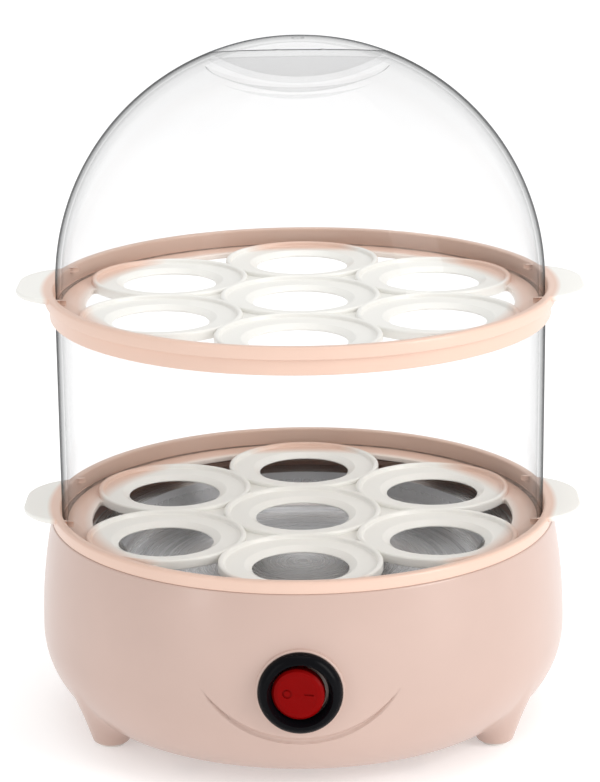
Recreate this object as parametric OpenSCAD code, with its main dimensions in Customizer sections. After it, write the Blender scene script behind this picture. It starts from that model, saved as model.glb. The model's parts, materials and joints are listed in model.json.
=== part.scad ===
// Two-tier egg cooker: heated base, two lift-off egg trays, a clear ring and a clear lid.
// Millimetres. Z is up, the origin is on the table under the middle, and the front faces -Y.

/* [Body] */
// Outer radius of the body at its widest
belly_r = 87.25; // [86.75:0.25:87.75]
// Height of the widest part of the body
belly_z = 31.6; // [31:0.2:32.2]
// Radius of the curve that closes the body below its widest part
lower_curve_r = 29.85; // [29.6:0.05:30.1]
// Radius of the curve that draws the body in towards its rim
upper_curve_r = 176.8; // [174:0.4:180]
// Height of the body's underside above the table
body_bottom_z = 5.8; // [5.4:0.2:6.2]
// Height of the rim that carries the lower tray
body_top_z = 68.3; // [67.9:0.2:68.7]
// Wall of the moulded body
wall = 2.4; // [2:0.2:2.6]

/* [Feet] */
// Distance of each leg from the middle
foot_pitch_r = 72.6; // [72:0.2:73.2]
// Radius of a leg where it stands on the table
foot_r = 6.2; // [5.8:0.2:6.6]

/* [Smile line] */
// Half the width of the smile-shaped groove under the switch
smile_half_w = 32; // [30:2:32]
// Height of the groove's ends
smile_end_z = 38; // [37:1:39]
// Height of the groove's lowest point
smile_low_z = 20; // [20:1:22]
// Width of the groove in its middle
smile_w = 2; // [1.6:0.2:2.2]
// Depth of the groove
smile_depth = 0.6; // [0.4:0.1:0.8]

/* [Trays] */
// Outer radius of a tray's rim
tray_rim_r = 83.25; // [83.05:0.1:83.45]
// Height of the rim band
tray_rim_h = 4; // [3.6:0.2:4.4]
// Outer radius of the skirt below the rim band
tray_skirt_r = 81.8; // [81.7:0.1:81.9]
// Inner radius of the well that the clear parts stand in
tray_well_r = 80.4; // [80.3:0.1:80.5]
// Depth of the tray's floor below the top of its rim
tray_floor_drop = 5.3; // [4.9:0.1:5.7]
// Thickness of the tray's floor
tray_floor_t = 1.8; // [1.6:0.1:2]
// Length of the skirt below the top of the rim
tray_skirt_drop = 9.1; // [8.7:0.1:9.5]
// Distance of a handle's tip from the middle
ear_tip = 92.4; // [91.4:0.5:94.4]

/* [Egg seats] */
// Distance of the six outer seats from the middle
seat_pitch_r = 51; // [50.6:0.2:51.2]
// Radius of the hole under an egg
seat_hole_r = 14.5; // [13.5:0.5:15]
// Outer radius of the raised bead around a seat
seat_bead_r = 26.2; // [26:0.1:26.4]
// Radius of the outer edge of the steam openings
steam_outer_r = 70; // [68:1:71]

/* [Clear parts] */
// Outer radius of the clear ring
ring_r = 80; // [79.8:0.1:80.1]
// Height of the clear ring
ring_h = 72.3; // [68:0.1:76]
// Wall of the clear ring and the lid
clear_wall = 2; // [1.6:0.2:2.2]
// Outer radius of the lid and of its dome
lid_r = 79.7; // [79.3:0.1:80]
// Height of the straight part of the lid
lid_straight_h = 5.8; // [5:0.2:8]
// Half the thickness of the finger ridge in its middle
ridge_half_t = 8; // [7:0.5:9]

/* [Switch] */
// Height of the switch's centre
switch_z = 38; // [37.6:0.2:38.4]
// Radius of the switch's bezel
bezel_r = 13.2; // [12.6:0.2:13.4]
// How far the bezel stands out of its seat
bezel_h = 3.6; // [3.4:0.2:3.8]
// Radius of the rocker's cap
rocker_r = 8.2; // [8:0.1:8.3]
// Tilt of the rocker to each side
rocker_tilt = 8; // [6:1:8]

/* [Hidden] */
$fn = 96;
fine_fn = 360;
round_fn = 180;
small_fn = 48;
eps = 0.01;
// Length of a cut that goes right through whatever is there
through = 100;

body_colour = [0.92, 0.80, 0.75];
tray_colour = [0.98, 0.91, 0.86];
clear_colour = [0.86, 0.90, 0.92, 0.3];
steel_colour = [0.75, 0.76, 0.78];
brass_colour = [0.80, 0.66, 0.36];
rubber_colour = [0.88, 0.87, 0.84];
ceramic_colour = [0.94, 0.93, 0.89];
black_colour = [0.07, 0.07, 0.08];
white_wire_colour = [0.90, 0.90, 0.88];

// Body outline
lower_curve_x = belly_r - lower_curve_r;
upper_curve_x = belly_r - upper_curve_r;
running_gap = 0.3;
neck_r = tray_skirt_r + running_gap;
neck_z = 57.2;
// Where the cut of the smile line starts and how far it reaches
smile_cut_y = 60;
smile_cut_l = 40;

// Legs, at bearings measured from the front
foot_bearings = [60, 180, 300];
foot_cone = 0.33;
foot_cone_h = 24;
foot_wall = 2.2;
toe_w = 1.8;
toe_h = 1.6;
pad_r = 4.2;
pad_t = 1.8;
leg_lift = 0.8;

// Underside
cover_r = 62.5;
cover_t = 2;
cover_gap = 0.3;
ledge_in_r = 52;
ledge_out_r = 66.5;
ledge_t = 2;
ledge_z = body_bottom_z + cover_t;
cover_screw_r = 57;
cover_screw_bearings = [0, 120, 240];
cover_boss_r = 3.8;
cover_boss_h = 8;
deck_screw_r = 67.5;
deck_screw_bearings = [32, 120, 240, 328];
column_r = 4.9;
column_top_z = 34;
column_floor_t = 3;
well_hole_r = 3.6;
screw_shaft_r = 1.5;
screw_hole_r = 1.75;
screw_head_r = 3.1;
pilot_r = screw_shaft_r - 0.1;
screw_recess = [3, 0.7];
cover_screw_l = 8;
cover_head_h = 1;
cover_bore_h = 1.2;
deck_screw_l = 15;
deck_head_h = 1.6;
post_pilot_h = 15;
pilot_end_t = 1.5;
// Radius, number and length of the cooling slots in each ring
slot_rings = [[40, 24, 10], [22, 12, 9]];
slot_w = 2.6;

// Deck, seal and pan
deck_z = 57.5;
deck_t = 2.5;
deck_in_r = 63;
deck_lip_w = 1.5;
deck_lip_h = 1.5;
deck_post_r = 4.2;
seal_t = 1.2;
seal_margin = 1;
pan_r = 62;
pan_flange_r = 70;
pan_t = 0.8;
pan_bottom_z = 49.2;
pan_corner_r = 6;
stud_r = 2;
stud_gap = 0.2;
stud_bottom_z = 30;

// Heater under the pan
plate_r = 45;
plate_t = 2.5;
plate_z = pan_bottom_z - plate_t;
element_pitch_r = 36;
element_tube_r = 3.3;
element_z = plate_z - element_tube_r;
element_span = 320;
pin_r = 1.4;
// Angle from an end of the open ring to its pin
pin_inset = 4;
insulator_h = 2.8;
insulator_r = 3;
insulator_gap = 0.2;
pin_bottom_z = 31;
bar_z = 36;
bar_t = 1.5;
bar_w = 18;
bar_half_l = 74.5;
bar_flange_l = 7;
bar_hole_x = 50;
bar_hole_r = 3;
washer_t = 0.8;
washer_r = 4.5;
nut_h = 3.2;
nut_r = 4;
thermostat_y = 21;
thermostat_r = 7.2;
thermostat_cap_r = 8;
thermostat_cap_h = 3.5;
thermostat_body_h = 6;
// Depth of the terminal tabs below the thermostat's cap
tab_drop = 4;
clip_screw_x = 12;
clip_pilot_r = 1.2;
clip_pilot_h = 2;
clip_t = 1;
fuse_y = -21;
fuse_r = 2;
fuse_l = 11;
lead_end_x = 18;
lead_r = 0.5;
sleeve_l = 20;
sleeve_r = 2.8;
fuse_z = plate_z - sleeve_r;

// Switch, in its own frame: z points out of the body, y points up
switch_seat_y = -87.3;
pad_depth = 5;
pad_margin = 0.6;
// Depth of the holes through the switch's and the gland's seats
seat_cut_l = 10;
barrel_gap = 0.15;
barrel_r = 9.9;
barrel_in_r = 8.8;
barrel_l = 17;
barrel_back_t = 1.6;
pivot_n = -3;
trunnion_r = 1.6;
trunnion_gap = 0.05;
cap_top_n = 2.2;
cap_bottom_n = -1;
plunger_r = 1.2;
plunger_n = -10;
plunger_l = 4.4;
lever_n = -11.8;
lever_t = 0.6;
lever_half_l = 5.4;
lever_w = 4;
lever_bead_r = 0.5;
lever_tilt = rocker_tilt * 7 / 8;
blade_x = 6;
blade_w = 4.8;
blade_t = 0.8;
blade_end_n = -26;
blade_l = 12.2;
fulcrum_l = 13.6;

// Rear cord gland
gland_z = 32;
gland_seat_y = 87.4;
gland_flange_r = 9;
gland_neck_r = 6.5;
gland_gap = 0.1;
gland_bore_r = 3.4;
gland_inner_y = 79;
gland_h = bezel_h - switch_seat_y - gland_seat_y;
gland_rim_t = 1.6;

// Cord clamp and terminal block on the ledge
clamp_xs = [-10, 10];
clamp_y = 62;
clamp_boss_h = 14;
clamp_boss_r = 3.2;
clamp_pilot_z = ledge_z + 4;
clamp_bar = [28, 7, 4];
block = [24, 16, 11];
block_y = 46;
block_z = ledge_z + ledge_t;
block_bore_z = 4;
block_xs = [-5.5, 5.5];
block_ys = [-4.5, 4.5];

// Stack of trays and clear parts
lower_rim_z = body_top_z + tray_rim_h;
ring_z = lower_rim_z - tray_floor_drop;
upper_rim_z = ring_z + ring_h + tray_floor_t + tray_floor_drop;
lid_z = upper_rim_z - tray_floor_drop;
dome_z = lid_z + lid_straight_h;
ear_round_r = 18;
ear_spread = 5;
ear_t = 1.8;
bead_w = 1.6;
bead_h = 1.5;
seat_rim_r = 17.5;
hub_margin = 4;
tray_edge = 0.7;
skirt_step = 0.1;

// Finger grip in the top of the lid
ridge_wall_r = 74.5;
grip_centre_y = 8.5;
grip_centre_z = dome_z + 73.7;
grip_lean = 6.6;
grip_edge_r = 30;
grip_depth = 8;
grip_ball_r = (grip_edge_r * grip_edge_r + grip_depth * grip_depth) / (2 * grip_depth);
vent_r = 1.5;

// ---------- helpers ----------

// Places children at a bearing from the front and a distance from the middle.
module at_bearing(bearing, radius) {
  rotate(bearing) translate([0, -radius, 0]) children();
}

// Turns children so that their +Z points out through the front of the body.
module on_switch() {
  translate([0, switch_seat_y, switch_z]) rotate([90, 0, 0]) children();
}

// Turns children so that their +Z points out through the back of the body.
module on_gland() {
  translate([0, gland_seat_y, gland_z]) rotate([-90, 0, 0]) children();
}

// Turns children about the upright axis of the rocker's pivot or of the contact lever.
module turned(depth, angle) {
  translate([0, 0, depth]) rotate([0, angle, 0]) translate([0, 0, -depth]) children();
}

// Right half of the body's outline, drawn in from the outer surface by an inset.
module body_outline(inset) {
  intersection() {
    translate([0, body_bottom_z + inset]) square([belly_r + 5, body_top_z - body_bottom_z]);
    union() {
      square([lower_curve_x, belly_z]);
      intersection() {
        translate([lower_curve_x, belly_z]) circle(lower_curve_r - inset, $fn = fine_fn);
        square([belly_r + 5, belly_z]);
      }
      intersection() {
        translate([upper_curve_x, belly_z]) circle(upper_curve_r - inset, $fn = fine_fn);
        translate([0, belly_z]) square([belly_r + 5, body_top_z + inset - belly_z]);
      }
    }
  }
}

module body_solid(inset) {
  rotate_extrude($fn = round_fn) body_outline(inset);
}

// Upright cone of one leg, with its foot rounded off; shrink makes the hollow inside it.
module leg_cone(shrink) {
  foot_z = leg_lift + shrink;
  r0 = foot_r - shrink;
  top_r = r0 + foot_cone * foot_cone_h;
  rotate_extrude()
    polygon([[0, foot_z], [r0 - toe_w, foot_z], [r0 - toe_w / 3, foot_z + toe_h * 0.3], [r0, foot_z + toe_h],
             [top_r, foot_cone_h + toe_h], [0, foot_cone_h + toe_h]]);
}

// Crescent that fades out at both ends, in the plane of the front.
module smile_outline() {
  drop = smile_end_z - smile_low_z;
  inner_drop = drop - smile_w;
  outer_r = (smile_half_w * smile_half_w + drop * drop) / (2 * drop);
  inner_r = (smile_half_w * smile_half_w + inner_drop * inner_drop) / (2 * inner_drop);
  intersection() {
    difference() {
      translate([0, smile_low_z + outer_r]) circle(outer_r, $fn = fine_fn);
      translate([0, smile_low_z + smile_w + inner_r]) circle(inner_r, $fn = fine_fn);
    }
    translate([-smile_half_w, smile_low_z - 1]) square([2 * smile_half_w, drop + 1]);
  }
}

// Self-tapping screw, head down, standing on z = 0.
module tapping_screw(length, head_r, head_h) {
  difference() {
    union() {
      cylinder(h = head_h, r1 = head_r * 0.8, r2 = head_r);
      cylinder(h = length, r = screw_shaft_r);
    }
    translate([0, 0, -eps]) linear_extrude(head_h * 0.6)
      for (a = [0, 90]) rotate(a) square(screw_recess, center = true);
  }
}

// Small cylinder-headed machine screw with a slot, head up, its shaft going down from z = 0.
module slotted_screw(head_r, head_h, shaft_r, shaft_l) {
  slot_w = 0.6;
  difference() {
    union() {
      cylinder(h = head_h, r = head_r, $fn = small_fn);
      translate([0, 0, -shaft_l]) cylinder(h = shaft_l + eps, r = shaft_r, $fn = small_fn);
    }
    translate([0, 0, head_h]) cube([2 * head_r + 1, slot_w, head_h], center = true);
  }
}

// Slot with round ends, pointing away from the middle.
module round_slot(length, width) {
  for (y = [-length / 2, length / 2]) translate([0, y]) circle(width / 2, $fn = 24);
  square([width, length], center = true);
}

// Point on a cubic Bezier curve.
function bezier(p, t) =
  pow(1 - t, 3) * p[0] + 3 * pow(1 - t, 2) * t * p[1] + 3 * (1 - t) * t * t * p[2] + pow(t, 3) * p[3];

function unit(v) = v / norm(v);

// Round wire swept along a list of points.
module wire(points, r, sides = 8) {
  last = len(points) - 1;
  rings = [for (i = [0:last])
    let (ahead = unit(points[min(i + 1, last)] - points[max(i - 1, 0)]),
         side = unit(cross(ahead, abs(ahead.z) > 0.95 ? [1, 0, 0] : [0, 0, 1])),
         up = cross(side, ahead))
    for (k = [0:sides - 1]) points[i] + r * (cos(360 * k / sides) * side + sin(360 * k / sides) * up)];
  walls = [for (i = [0:last - 1], k = [0:sides - 1])
    let (n = (k + 1) % sides)
    [i * sides + k, i * sides + n, (i + 1) * sides + n, (i + 1) * sides + k]];
  start_cap = [[for (k = [sides - 1:-1:0]) k]];
  end_cap = [[for (k = [0:sides - 1]) last * sides + k]];
  polyhedron(rings, concat(walls, start_cap, end_cap));
}

module bezier_wire(p, r, steps = 14) {
  wire([for (i = [0:steps]) bezier(p, i / steps)], r);
}

// ---------- base ----------

module base_shell() {
  difference() {
    union() {
      body_solid(0);
      for (b = foot_bearings) at_bearing(b, foot_pitch_r) leg_cone(0);
    }
    body_solid(wall);
    for (b = foot_bearings) at_bearing(b, foot_pitch_r) leg_cone(foot_wall);
    translate([0, 0, neck_z]) cylinder(h = body_top_z, r = neck_r, $fn = round_fn);
    translate([0, 0, body_bottom_z - eps]) cylinder(h = cover_t + ledge_t, r = cover_r + cover_gap);
  }
}

// Ledge for the cover, screw columns and screw bosses.
module base_inner_frame() {
  translate([0, 0, ledge_z]) difference() {
    cylinder(h = ledge_t, r = ledge_out_r);
    translate([0, 0, -eps]) cylinder(h = ledge_t + 1, r = ledge_in_r);
  }
  for (b = cover_screw_bearings) at_bearing(b, cover_screw_r)
    translate([0, 0, ledge_z]) cylinder(h = cover_boss_h, r = cover_boss_r);
  for (b = deck_screw_bearings) at_bearing(b, deck_screw_r)
    translate([0, 0, body_bottom_z]) cylinder(h = column_top_z - body_bottom_z, r = column_r);
  for (x = clamp_xs) translate([x, clamp_y, ledge_z]) cylinder(h = clamp_boss_h, r = clamp_boss_r);
}

module base_housing() {
  color(body_colour) difference() {
    union() {
      base_shell();
      intersection() {
        base_inner_frame();
        body_solid(wall / 2);
      }
      // flat pads that carry the switch and the gland on the round wall
      on_switch() translate([0, 0, -pad_depth]) cylinder(h = pad_depth, r = bezel_r + pad_margin);
      on_gland() translate([0, 0, -pad_depth]) cylinder(h = pad_depth, r = gland_flange_r + pad_margin);
    }
    on_switch() translate([0, 0, -seat_cut_l]) cylinder(h = seat_cut_l + 1, r = barrel_r + barrel_gap);
    on_gland() translate([0, 0, -seat_cut_l]) cylinder(h = seat_cut_l + 1, r = gland_neck_r + gland_gap);
    // screw wells under the deck posts, and pilot holes of the cover's and the clamp's screws
    for (b = deck_screw_bearings) at_bearing(b, deck_screw_r) {
      cylinder(h = column_top_z - column_floor_t, r = well_hole_r);
      cylinder(h = column_top_z + 1, r = screw_hole_r);
    }
    for (b = cover_screw_bearings) at_bearing(b, cover_screw_r)
      cylinder(h = ledge_z + cover_boss_h - pilot_end_t, r = pilot_r);
    for (x = clamp_xs) translate([x, clamp_y, clamp_pilot_z]) cylinder(h = clamp_boss_h, r = pilot_r);
    // smile-shaped groove
    intersection() {
      translate([0, -smile_cut_y, 0]) rotate([90, 0, 0]) linear_extrude(smile_cut_l) smile_outline();
      difference() {
        body_solid(-1);
        body_solid(smile_depth);
      }
    }
    // pockets of the foot pads
    for (b = foot_bearings) at_bearing(b, foot_pitch_r) cylinder(h = pad_t, r = pad_r);
  }
}

module bottom_cover() {
  color(body_colour) difference() {
    translate([0, 0, body_bottom_z]) cylinder(h = cover_t, r = cover_r);
    for (b = cover_screw_bearings) at_bearing(b, cover_screw_r) {
      cylinder(h = ledge_z + 1, r = screw_hole_r);
      cylinder(h = body_bottom_z + cover_bore_h, r = screw_head_r + cover_gap);
    }
    for (ring = slot_rings, i = [1:ring[1]])
      rotate(360 * i / ring[1]) translate([0, ring[0], 0])
        linear_extrude(ledge_z + 1) round_slot(ring[2], slot_w);
  }
}

module cover_screws() {
  color(steel_colour) for (b = cover_screw_bearings) at_bearing(b, cover_screw_r)
    translate([0, 0, body_bottom_z + cover_bore_h - cover_head_h])
      tapping_screw(cover_screw_l, screw_head_r, cover_head_h);
}

module deck_screws() {
  color(steel_colour) for (b = deck_screw_bearings) at_bearing(b, deck_screw_r)
    translate([0, 0, column_top_z - column_floor_t - deck_head_h])
      tapping_screw(deck_screw_l, screw_head_r, deck_head_h);
}

module foot_pads() {
  color(rubber_colour) for (b = foot_bearings) at_bearing(b, foot_pitch_r) cylinder(h = pad_t, r = pad_r);
}

// Heat-resistant ring that closes the top of the body around the pan.
module deck_ring() {
  color(tray_colour) difference() {
    union() {
      translate([0, 0, deck_z]) cylinder(h = deck_t, r = neck_r - running_gap, $fn = round_fn);
      translate([0, 0, deck_z + deck_t]) difference() {
        cylinder(h = deck_lip_h, r = neck_r - running_gap, $fn = round_fn);
        translate([0, 0, -eps])
          cylinder(h = deck_lip_h + 1, r = neck_r - running_gap - deck_lip_w, $fn = round_fn);
      }
      for (b = deck_screw_bearings) at_bearing(b, deck_screw_r)
        translate([0, 0, column_top_z]) cylinder(h = deck_z + 1 - column_top_z, r = deck_post_r);
    }
    cylinder(h = through, r = deck_in_r);
    for (b = deck_screw_bearings) at_bearing(b, deck_screw_r)
      translate([0, 0, column_top_z - 1]) cylinder(h = post_pilot_h + 1, r = pilot_r);
  }
}

module pan_seal() {
  color(rubber_colour) difference() {
    union() {
      translate([0, 0, deck_z + deck_t]) cylinder(h = seal_t, r = pan_flange_r + seal_margin, $fn = round_fn);
      translate([0, 0, deck_z - seal_margin])
        cylinder(h = deck_t + seal_margin + eps, r = deck_in_r, $fn = round_fn);
    }
    cylinder(h = through, r = pan_r, $fn = round_fn);
  }
}

// Half section of the pan's outer or inner form.
module pan_outline(t) {
  top_z = deck_z + deck_t + seal_t + pan_t;
  translate([0, pan_bottom_z + t]) square([pan_r - pan_corner_r, pan_corner_r]);
  intersection() {
    translate([pan_r - pan_corner_r, pan_bottom_z + pan_corner_r]) circle(pan_corner_r - t);
    square([pan_r, pan_bottom_z + pan_corner_r]);
  }
  translate([0, pan_bottom_z + pan_corner_r]) square([pan_r - t, top_z - pan_bottom_z - pan_corner_r + t]);
}

module water_pan() {
  flange_z = deck_z + deck_t + seal_t;
  color(steel_colour) {
    rotate_extrude($fn = round_fn) difference() {
      union() {
        pan_outline(0);
        translate([0, flange_z]) square([pan_flange_r, pan_t]);
      }
      pan_outline(pan_t);
      translate([0, flange_z + pan_t]) square([pan_flange_r + 1, pan_corner_r]);
    }
    translate([0, 0, stud_bottom_z]) cylinder(h = pan_bottom_z + pan_t / 2 - stud_bottom_z, r = stud_r);
  }
}

module heat_plate() {
  color([0.82, 0.83, 0.85]) difference() {
    translate([0, 0, plate_z]) cylinder(h = plate_t, r = plate_r);
    cylinder(h = through, r = stud_r + stud_gap);
    for (x = [-clip_screw_x, clip_screw_x])
      translate([x, thermostat_y, plate_z - 1])
        cylinder(h = clip_pilot_h + 1, r = clip_pilot_r, $fn = small_fn);
  }
}

// Bearings of the element's two pins, a little inside the ends of its open ring.
function element_pin(side) = 180 + side * ((360 - element_span) / 2 + pin_inset);

module heating_element() {
  color([0.45, 0.45, 0.47]) {
    translate([0, 0, element_z]) rotate(90 + (360 - element_span) / 2)
      rotate_extrude(angle = element_span)
        translate([element_pitch_r, 0]) circle(element_tube_r, $fn = small_fn);
    for (s = [-1, 1]) at_bearing(element_pin(s), element_pitch_r)
      translate([0, 0, pin_bottom_z]) cylinder(h = element_z - pin_bottom_z, r = pin_r, $fn = small_fn);
  }
}

module element_insulators() {
  color(ceramic_colour) for (s = [-1, 1]) at_bearing(element_pin(s), element_pitch_r)
    translate([0, 0, element_z - element_tube_r - insulator_gap - insulator_h]) difference() {
      cylinder(h = insulator_h, r = insulator_r);
      translate([0, 0, -1]) cylinder(h = insulator_h + 2, r = pin_r + eps, $fn = small_fn);
    }
}

// Steel bar that pulls the pan down against the deck.
module clamp_bracket() {
  color(steel_colour) difference() {
    union() {
      translate([-bar_half_l, -bar_w / 2, bar_z]) cube([2 * bar_half_l, bar_w, bar_t]);
      for (s = [0, 1]) mirror([s, 0, 0]) {
        translate([bar_half_l - bar_t, -bar_w / 2, bar_z]) cube([bar_t, bar_w, deck_z - bar_z]);
        translate([bar_half_l - bar_flange_l, -bar_w / 2, deck_z - bar_t]) cube([bar_flange_l, bar_w, bar_t]);
      }
    }
    cylinder(h = through, r = stud_r + stud_gap);
    for (x = [-bar_hole_x, bar_hole_x]) translate([x, 0, 0]) cylinder(h = bar_z + bar_t + 1, r = bar_hole_r);
  }
}

module clamp_washer() {
  color(steel_colour) translate([0, 0, bar_z - washer_t]) difference() {
    cylinder(h = washer_t, r = washer_r);
    translate([0, 0, -1]) cylinder(h = washer_t + 2, r = stud_r + stud_gap);
  }
}

module clamp_nut() {
  color(brass_colour) translate([0, 0, bar_z - washer_t - nut_h]) difference() {
    cylinder(h = nut_h, r = nut_r, $fn = 6);
    translate([0, 0, -1]) cylinder(h = nut_h + 2, r = stud_r + eps);
  }
}

module thermostat() {
  color([0.18, 0.16, 0.15]) translate([0, thermostat_y, plate_z - thermostat_cap_h - thermostat_body_h]) {
    cylinder(h = thermostat_body_h + thermostat_cap_h, r = thermostat_r);
    translate([0, 0, thermostat_body_h]) cylinder(h = thermostat_cap_h, r = thermostat_cap_r);
  }
}

module thermostat_tabs() {
  tab = [7, 4.8, 0.8];
  tab_x = thermostat_r - 1 + tab.x / 2;
  color(brass_colour) for (s = [-1, 1])
    translate([s * tab_x, thermostat_y, plate_z - thermostat_cap_h - tab_drop]) cube(tab, center = true);
}

// Flat strap with a hole round the body of the thermostat and an ear at each end.
module thermostat_clip() {
  ring_r = 9.5;
  ear_r = 3;
  hole_r = 1.3;
  gap = 0.1;
  color(steel_colour) translate([0, thermostat_y, plate_z - thermostat_cap_h - clip_t])
    linear_extrude(clip_t) difference() {
      union() {
        circle(ring_r);
        square([2 * clip_screw_x, 2 * ear_r], center = true);
        for (s = [-1, 1]) translate([s * clip_screw_x, 0]) circle(ear_r);
      }
      circle(thermostat_r + gap);
      for (s = [-1, 1]) translate([s * clip_screw_x, 0]) circle(hole_r, $fn = small_fn);
    }
}

module thermostat_screws() {
  head_r = 2.4;
  head_h = 1.5;
  shaft_r = 1.15;
  color(steel_colour) for (s = [-1, 1])
    translate([s * clip_screw_x, thermostat_y, plate_z - thermostat_cap_h - clip_t]) rotate([180, 0, 0])
      slotted_screw(head_r, head_h, shaft_r, thermostat_cap_h + clip_t + clip_pilot_h - 0.5);
}

module thermal_fuse() {
  color([0.70, 0.72, 0.74]) translate([0, fuse_y, fuse_z]) rotate([0, 90, 0]) {
    cylinder(h = fuse_l, r = fuse_r, center = true);
    cylinder(h = 2 * lead_end_x, r = lead_r, center = true, $fn = small_fn / 2);
  }
}

module fuse_sleeve() {
  color([0.92, 0.90, 0.82]) translate([0, fuse_y, fuse_z]) rotate([0, 90, 0]) difference() {
    cylinder(h = sleeve_l, r = sleeve_r, center = true);
    cylinder(h = sleeve_l + 2, r = fuse_r + eps, center = true);
  }
}

// Spring-steel strap that holds the fuse up against the plate.
module fuse_clip() {
  strap_w = 5;
  strap_t = 1;
  strap_l = 24;
  loop_l = 8;
  slot_l = 5.2;
  color(steel_colour) translate([0, fuse_y, 0]) difference() {
    union() {
      translate([-strap_w / 2, -loop_l / 2, plate_z - 2 * sleeve_r - strap_t])
        cube([strap_w, loop_l, 2 * sleeve_r + strap_t]);
      translate([-strap_w / 2, -strap_l / 2, plate_z - strap_t]) cube([strap_w, strap_l, strap_t]);
    }
    translate([0, 0, fuse_z]) rotate([0, 90, 0]) cylinder(h = 2 * strap_w, r = sleeve_r + eps, center = true);
    translate([0, 0, plate_z]) cube([2 * strap_w, slot_l, slot_l], center = true);
  }
}

// ---------- switch ----------

// Ring around the rocker, domed towards its outer edge.
module bezel_outline() {
  dome_w = 3.2;
  dome_drop = 2.8;
  dome_r = dome_w + 0.03;
  intersection() {
    translate([barrel_in_r - 1, 0]) square([bezel_r - barrel_in_r + 1, bezel_h]);
    union() {
      square([bezel_r - dome_w, bezel_h]);
      translate([bezel_r - dome_w, bezel_h - dome_r]) circle(dome_r);
      square([bezel_r, bezel_h - dome_drop]);
    }
  }
}

module switch_body() {
  wing = [1.2, 5, 4.4];
  wing_n = -7.6;
  wing_lean = 12;
  funnel = 1.4;
  slot_depth = 3;
  color(black_colour) on_switch() difference() {
    union() {
      rotate_extrude() bezel_outline();
      translate([0, 0, -barrel_l]) cylinder(h = barrel_l + eps, r = barrel_r);
      // snap wings behind the wall
      for (s = [-1, 1])
        translate([s * (barrel_r - 0.2), 0, wing_n]) rotate([0, s * wing_lean, 0]) cube(wing, center = true);
    }
    translate([0, 0, barrel_back_t - barrel_l]) cylinder(h = barrel_l, r = barrel_in_r);
    cylinder(h = bezel_h + eps, r1 = barrel_in_r, r2 = barrel_in_r + funnel);
    translate([0, 0, pivot_n]) rotate([90, 0, 0])
      cylinder(h = 2 * barrel_r + 2, r = trunnion_r + trunnion_gap, center = true, $fn = small_fn);
    for (x = [-blade_x, 0, blade_x])
      translate([x, 0, -barrel_l]) cube([blade_t, blade_w, 2 * slot_depth], center = true);
  }
}

// Two outer blades and the middle one, whose tip is the fulcrum of the contact lever.
module switch_terminals() {
  hole_n = 2.5;
  hole_r = 0.9;
  contact_x = -5.2;
  contact_r = 1.1;
  color(brass_colour) on_switch() {
    for (x = [-blade_x, 0, blade_x])
      translate([x, 0, blade_end_n]) difference() {
        translate([-blade_t / 2, -blade_w / 2, 0]) cube([blade_t, blade_w, x == 0 ? fulcrum_l : blade_l]);
        translate([0, 0, hole_n]) rotate([0, 90, 0])
          cylinder(h = 2 * blade_t, r = hole_r, center = true, $fn = small_fn / 2);
      }
    translate([contact_x, 0, blade_end_n + blade_l]) cylinder(h = blade_t, r = contact_r, $fn = small_fn);
  }
}

module indicator_lamp() {
  lamp_l = 6.4;
  lamp_r = 1.6;
  end_r = 1.2;
  color([0.95, 0.75, 0.60]) on_switch() translate([0, -4.6, -4.5]) rotate([0, 90, 0]) {
    cylinder(h = lamp_l, r = lamp_r, center = true, $fn = small_fn);
    for (s = [-1, 1]) translate([0, 0, s * lamp_l / 2]) sphere(end_r, $fn = small_fn);
  }
}

module rocker_cap() {
  dish_r = 36;
  dish_edge_r = 6.3;
  dish_depth = dish_r - sqrt(dish_r * dish_r - dish_edge_r * dish_edge_r);
  edge = 0.6;
  mark_x = 3.4;
  mark_depth = 0.75;
  ring_out_r = 1.5;
  ring_in_r = 0.95;
  bar = [3, 0.6, 3];
  difference() {
    union() {
      translate([0, 0, cap_bottom_n]) cylinder(h = cap_top_n - cap_bottom_n - edge, r = rocker_r);
      translate([0, 0, cap_top_n - edge]) cylinder(h = edge, r1 = rocker_r, r2 = rocker_r - edge - 0.1);
    }
    translate([0, 0, cap_top_n - dish_depth + dish_r]) sphere(dish_r, $fn = round_fn);
    // off ring and on bar
    translate([-mark_x, 0, cap_top_n - mark_depth]) difference() {
      cylinder(h = bar.z, r = ring_out_r, $fn = small_fn);
      translate([0, 0, -1]) cylinder(h = bar.z + 2, r = ring_in_r, $fn = small_fn);
    }
    translate([mark_x, 0, cap_top_n - mark_depth + bar.z / 2]) cube(bar, center = true);
  }
}

// Cap with a cheek and a trunnion at each side and a sprung post in its middle.
module rocker() {
  cheek_w = 4.4;
  cheek_t = 1.4;
  cheek_y = 7.3;
  trunnion_l = 3;
  trunnion_y = 8.1;
  post_w = 4.8;
  post_n = -9.5;
  bore_h = 6.6;
  color([0.62, 0.03, 0.03]) on_switch() turned(pivot_n, -rocker_tilt) difference() {
    union() {
      rocker_cap();
      for (s = [-1, 1]) {
        translate([-cheek_w / 2, s * cheek_y - cheek_t / 2, pivot_n - trunnion_r])
          cube([cheek_w, cheek_t, trunnion_r + 0.6 + cap_bottom_n - pivot_n]);
        translate([0, s * trunnion_y, pivot_n]) rotate([90, 0, 0])
          cylinder(h = trunnion_l, r = trunnion_r, center = true, $fn = small_fn);
      }
      translate([-post_w / 2, -post_w / 2, post_n]) cube([post_w, post_w, cap_bottom_n + 0.5 - post_n]);
    }
    translate([0, 0, post_n - 0.1]) cylinder(h = bore_h, r = plunger_r + 0.05, $fn = small_fn);
  }
}

module rocker_plunger() {
  color([0.95, 0.95, 0.93]) on_switch() turned(pivot_n, -rocker_tilt) {
    translate([0, 0, plunger_n]) cylinder(h = plunger_l, r = plunger_r, $fn = small_fn);
    translate([0, 0, plunger_n]) sphere(plunger_r, $fn = small_fn);
  }
}

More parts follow.
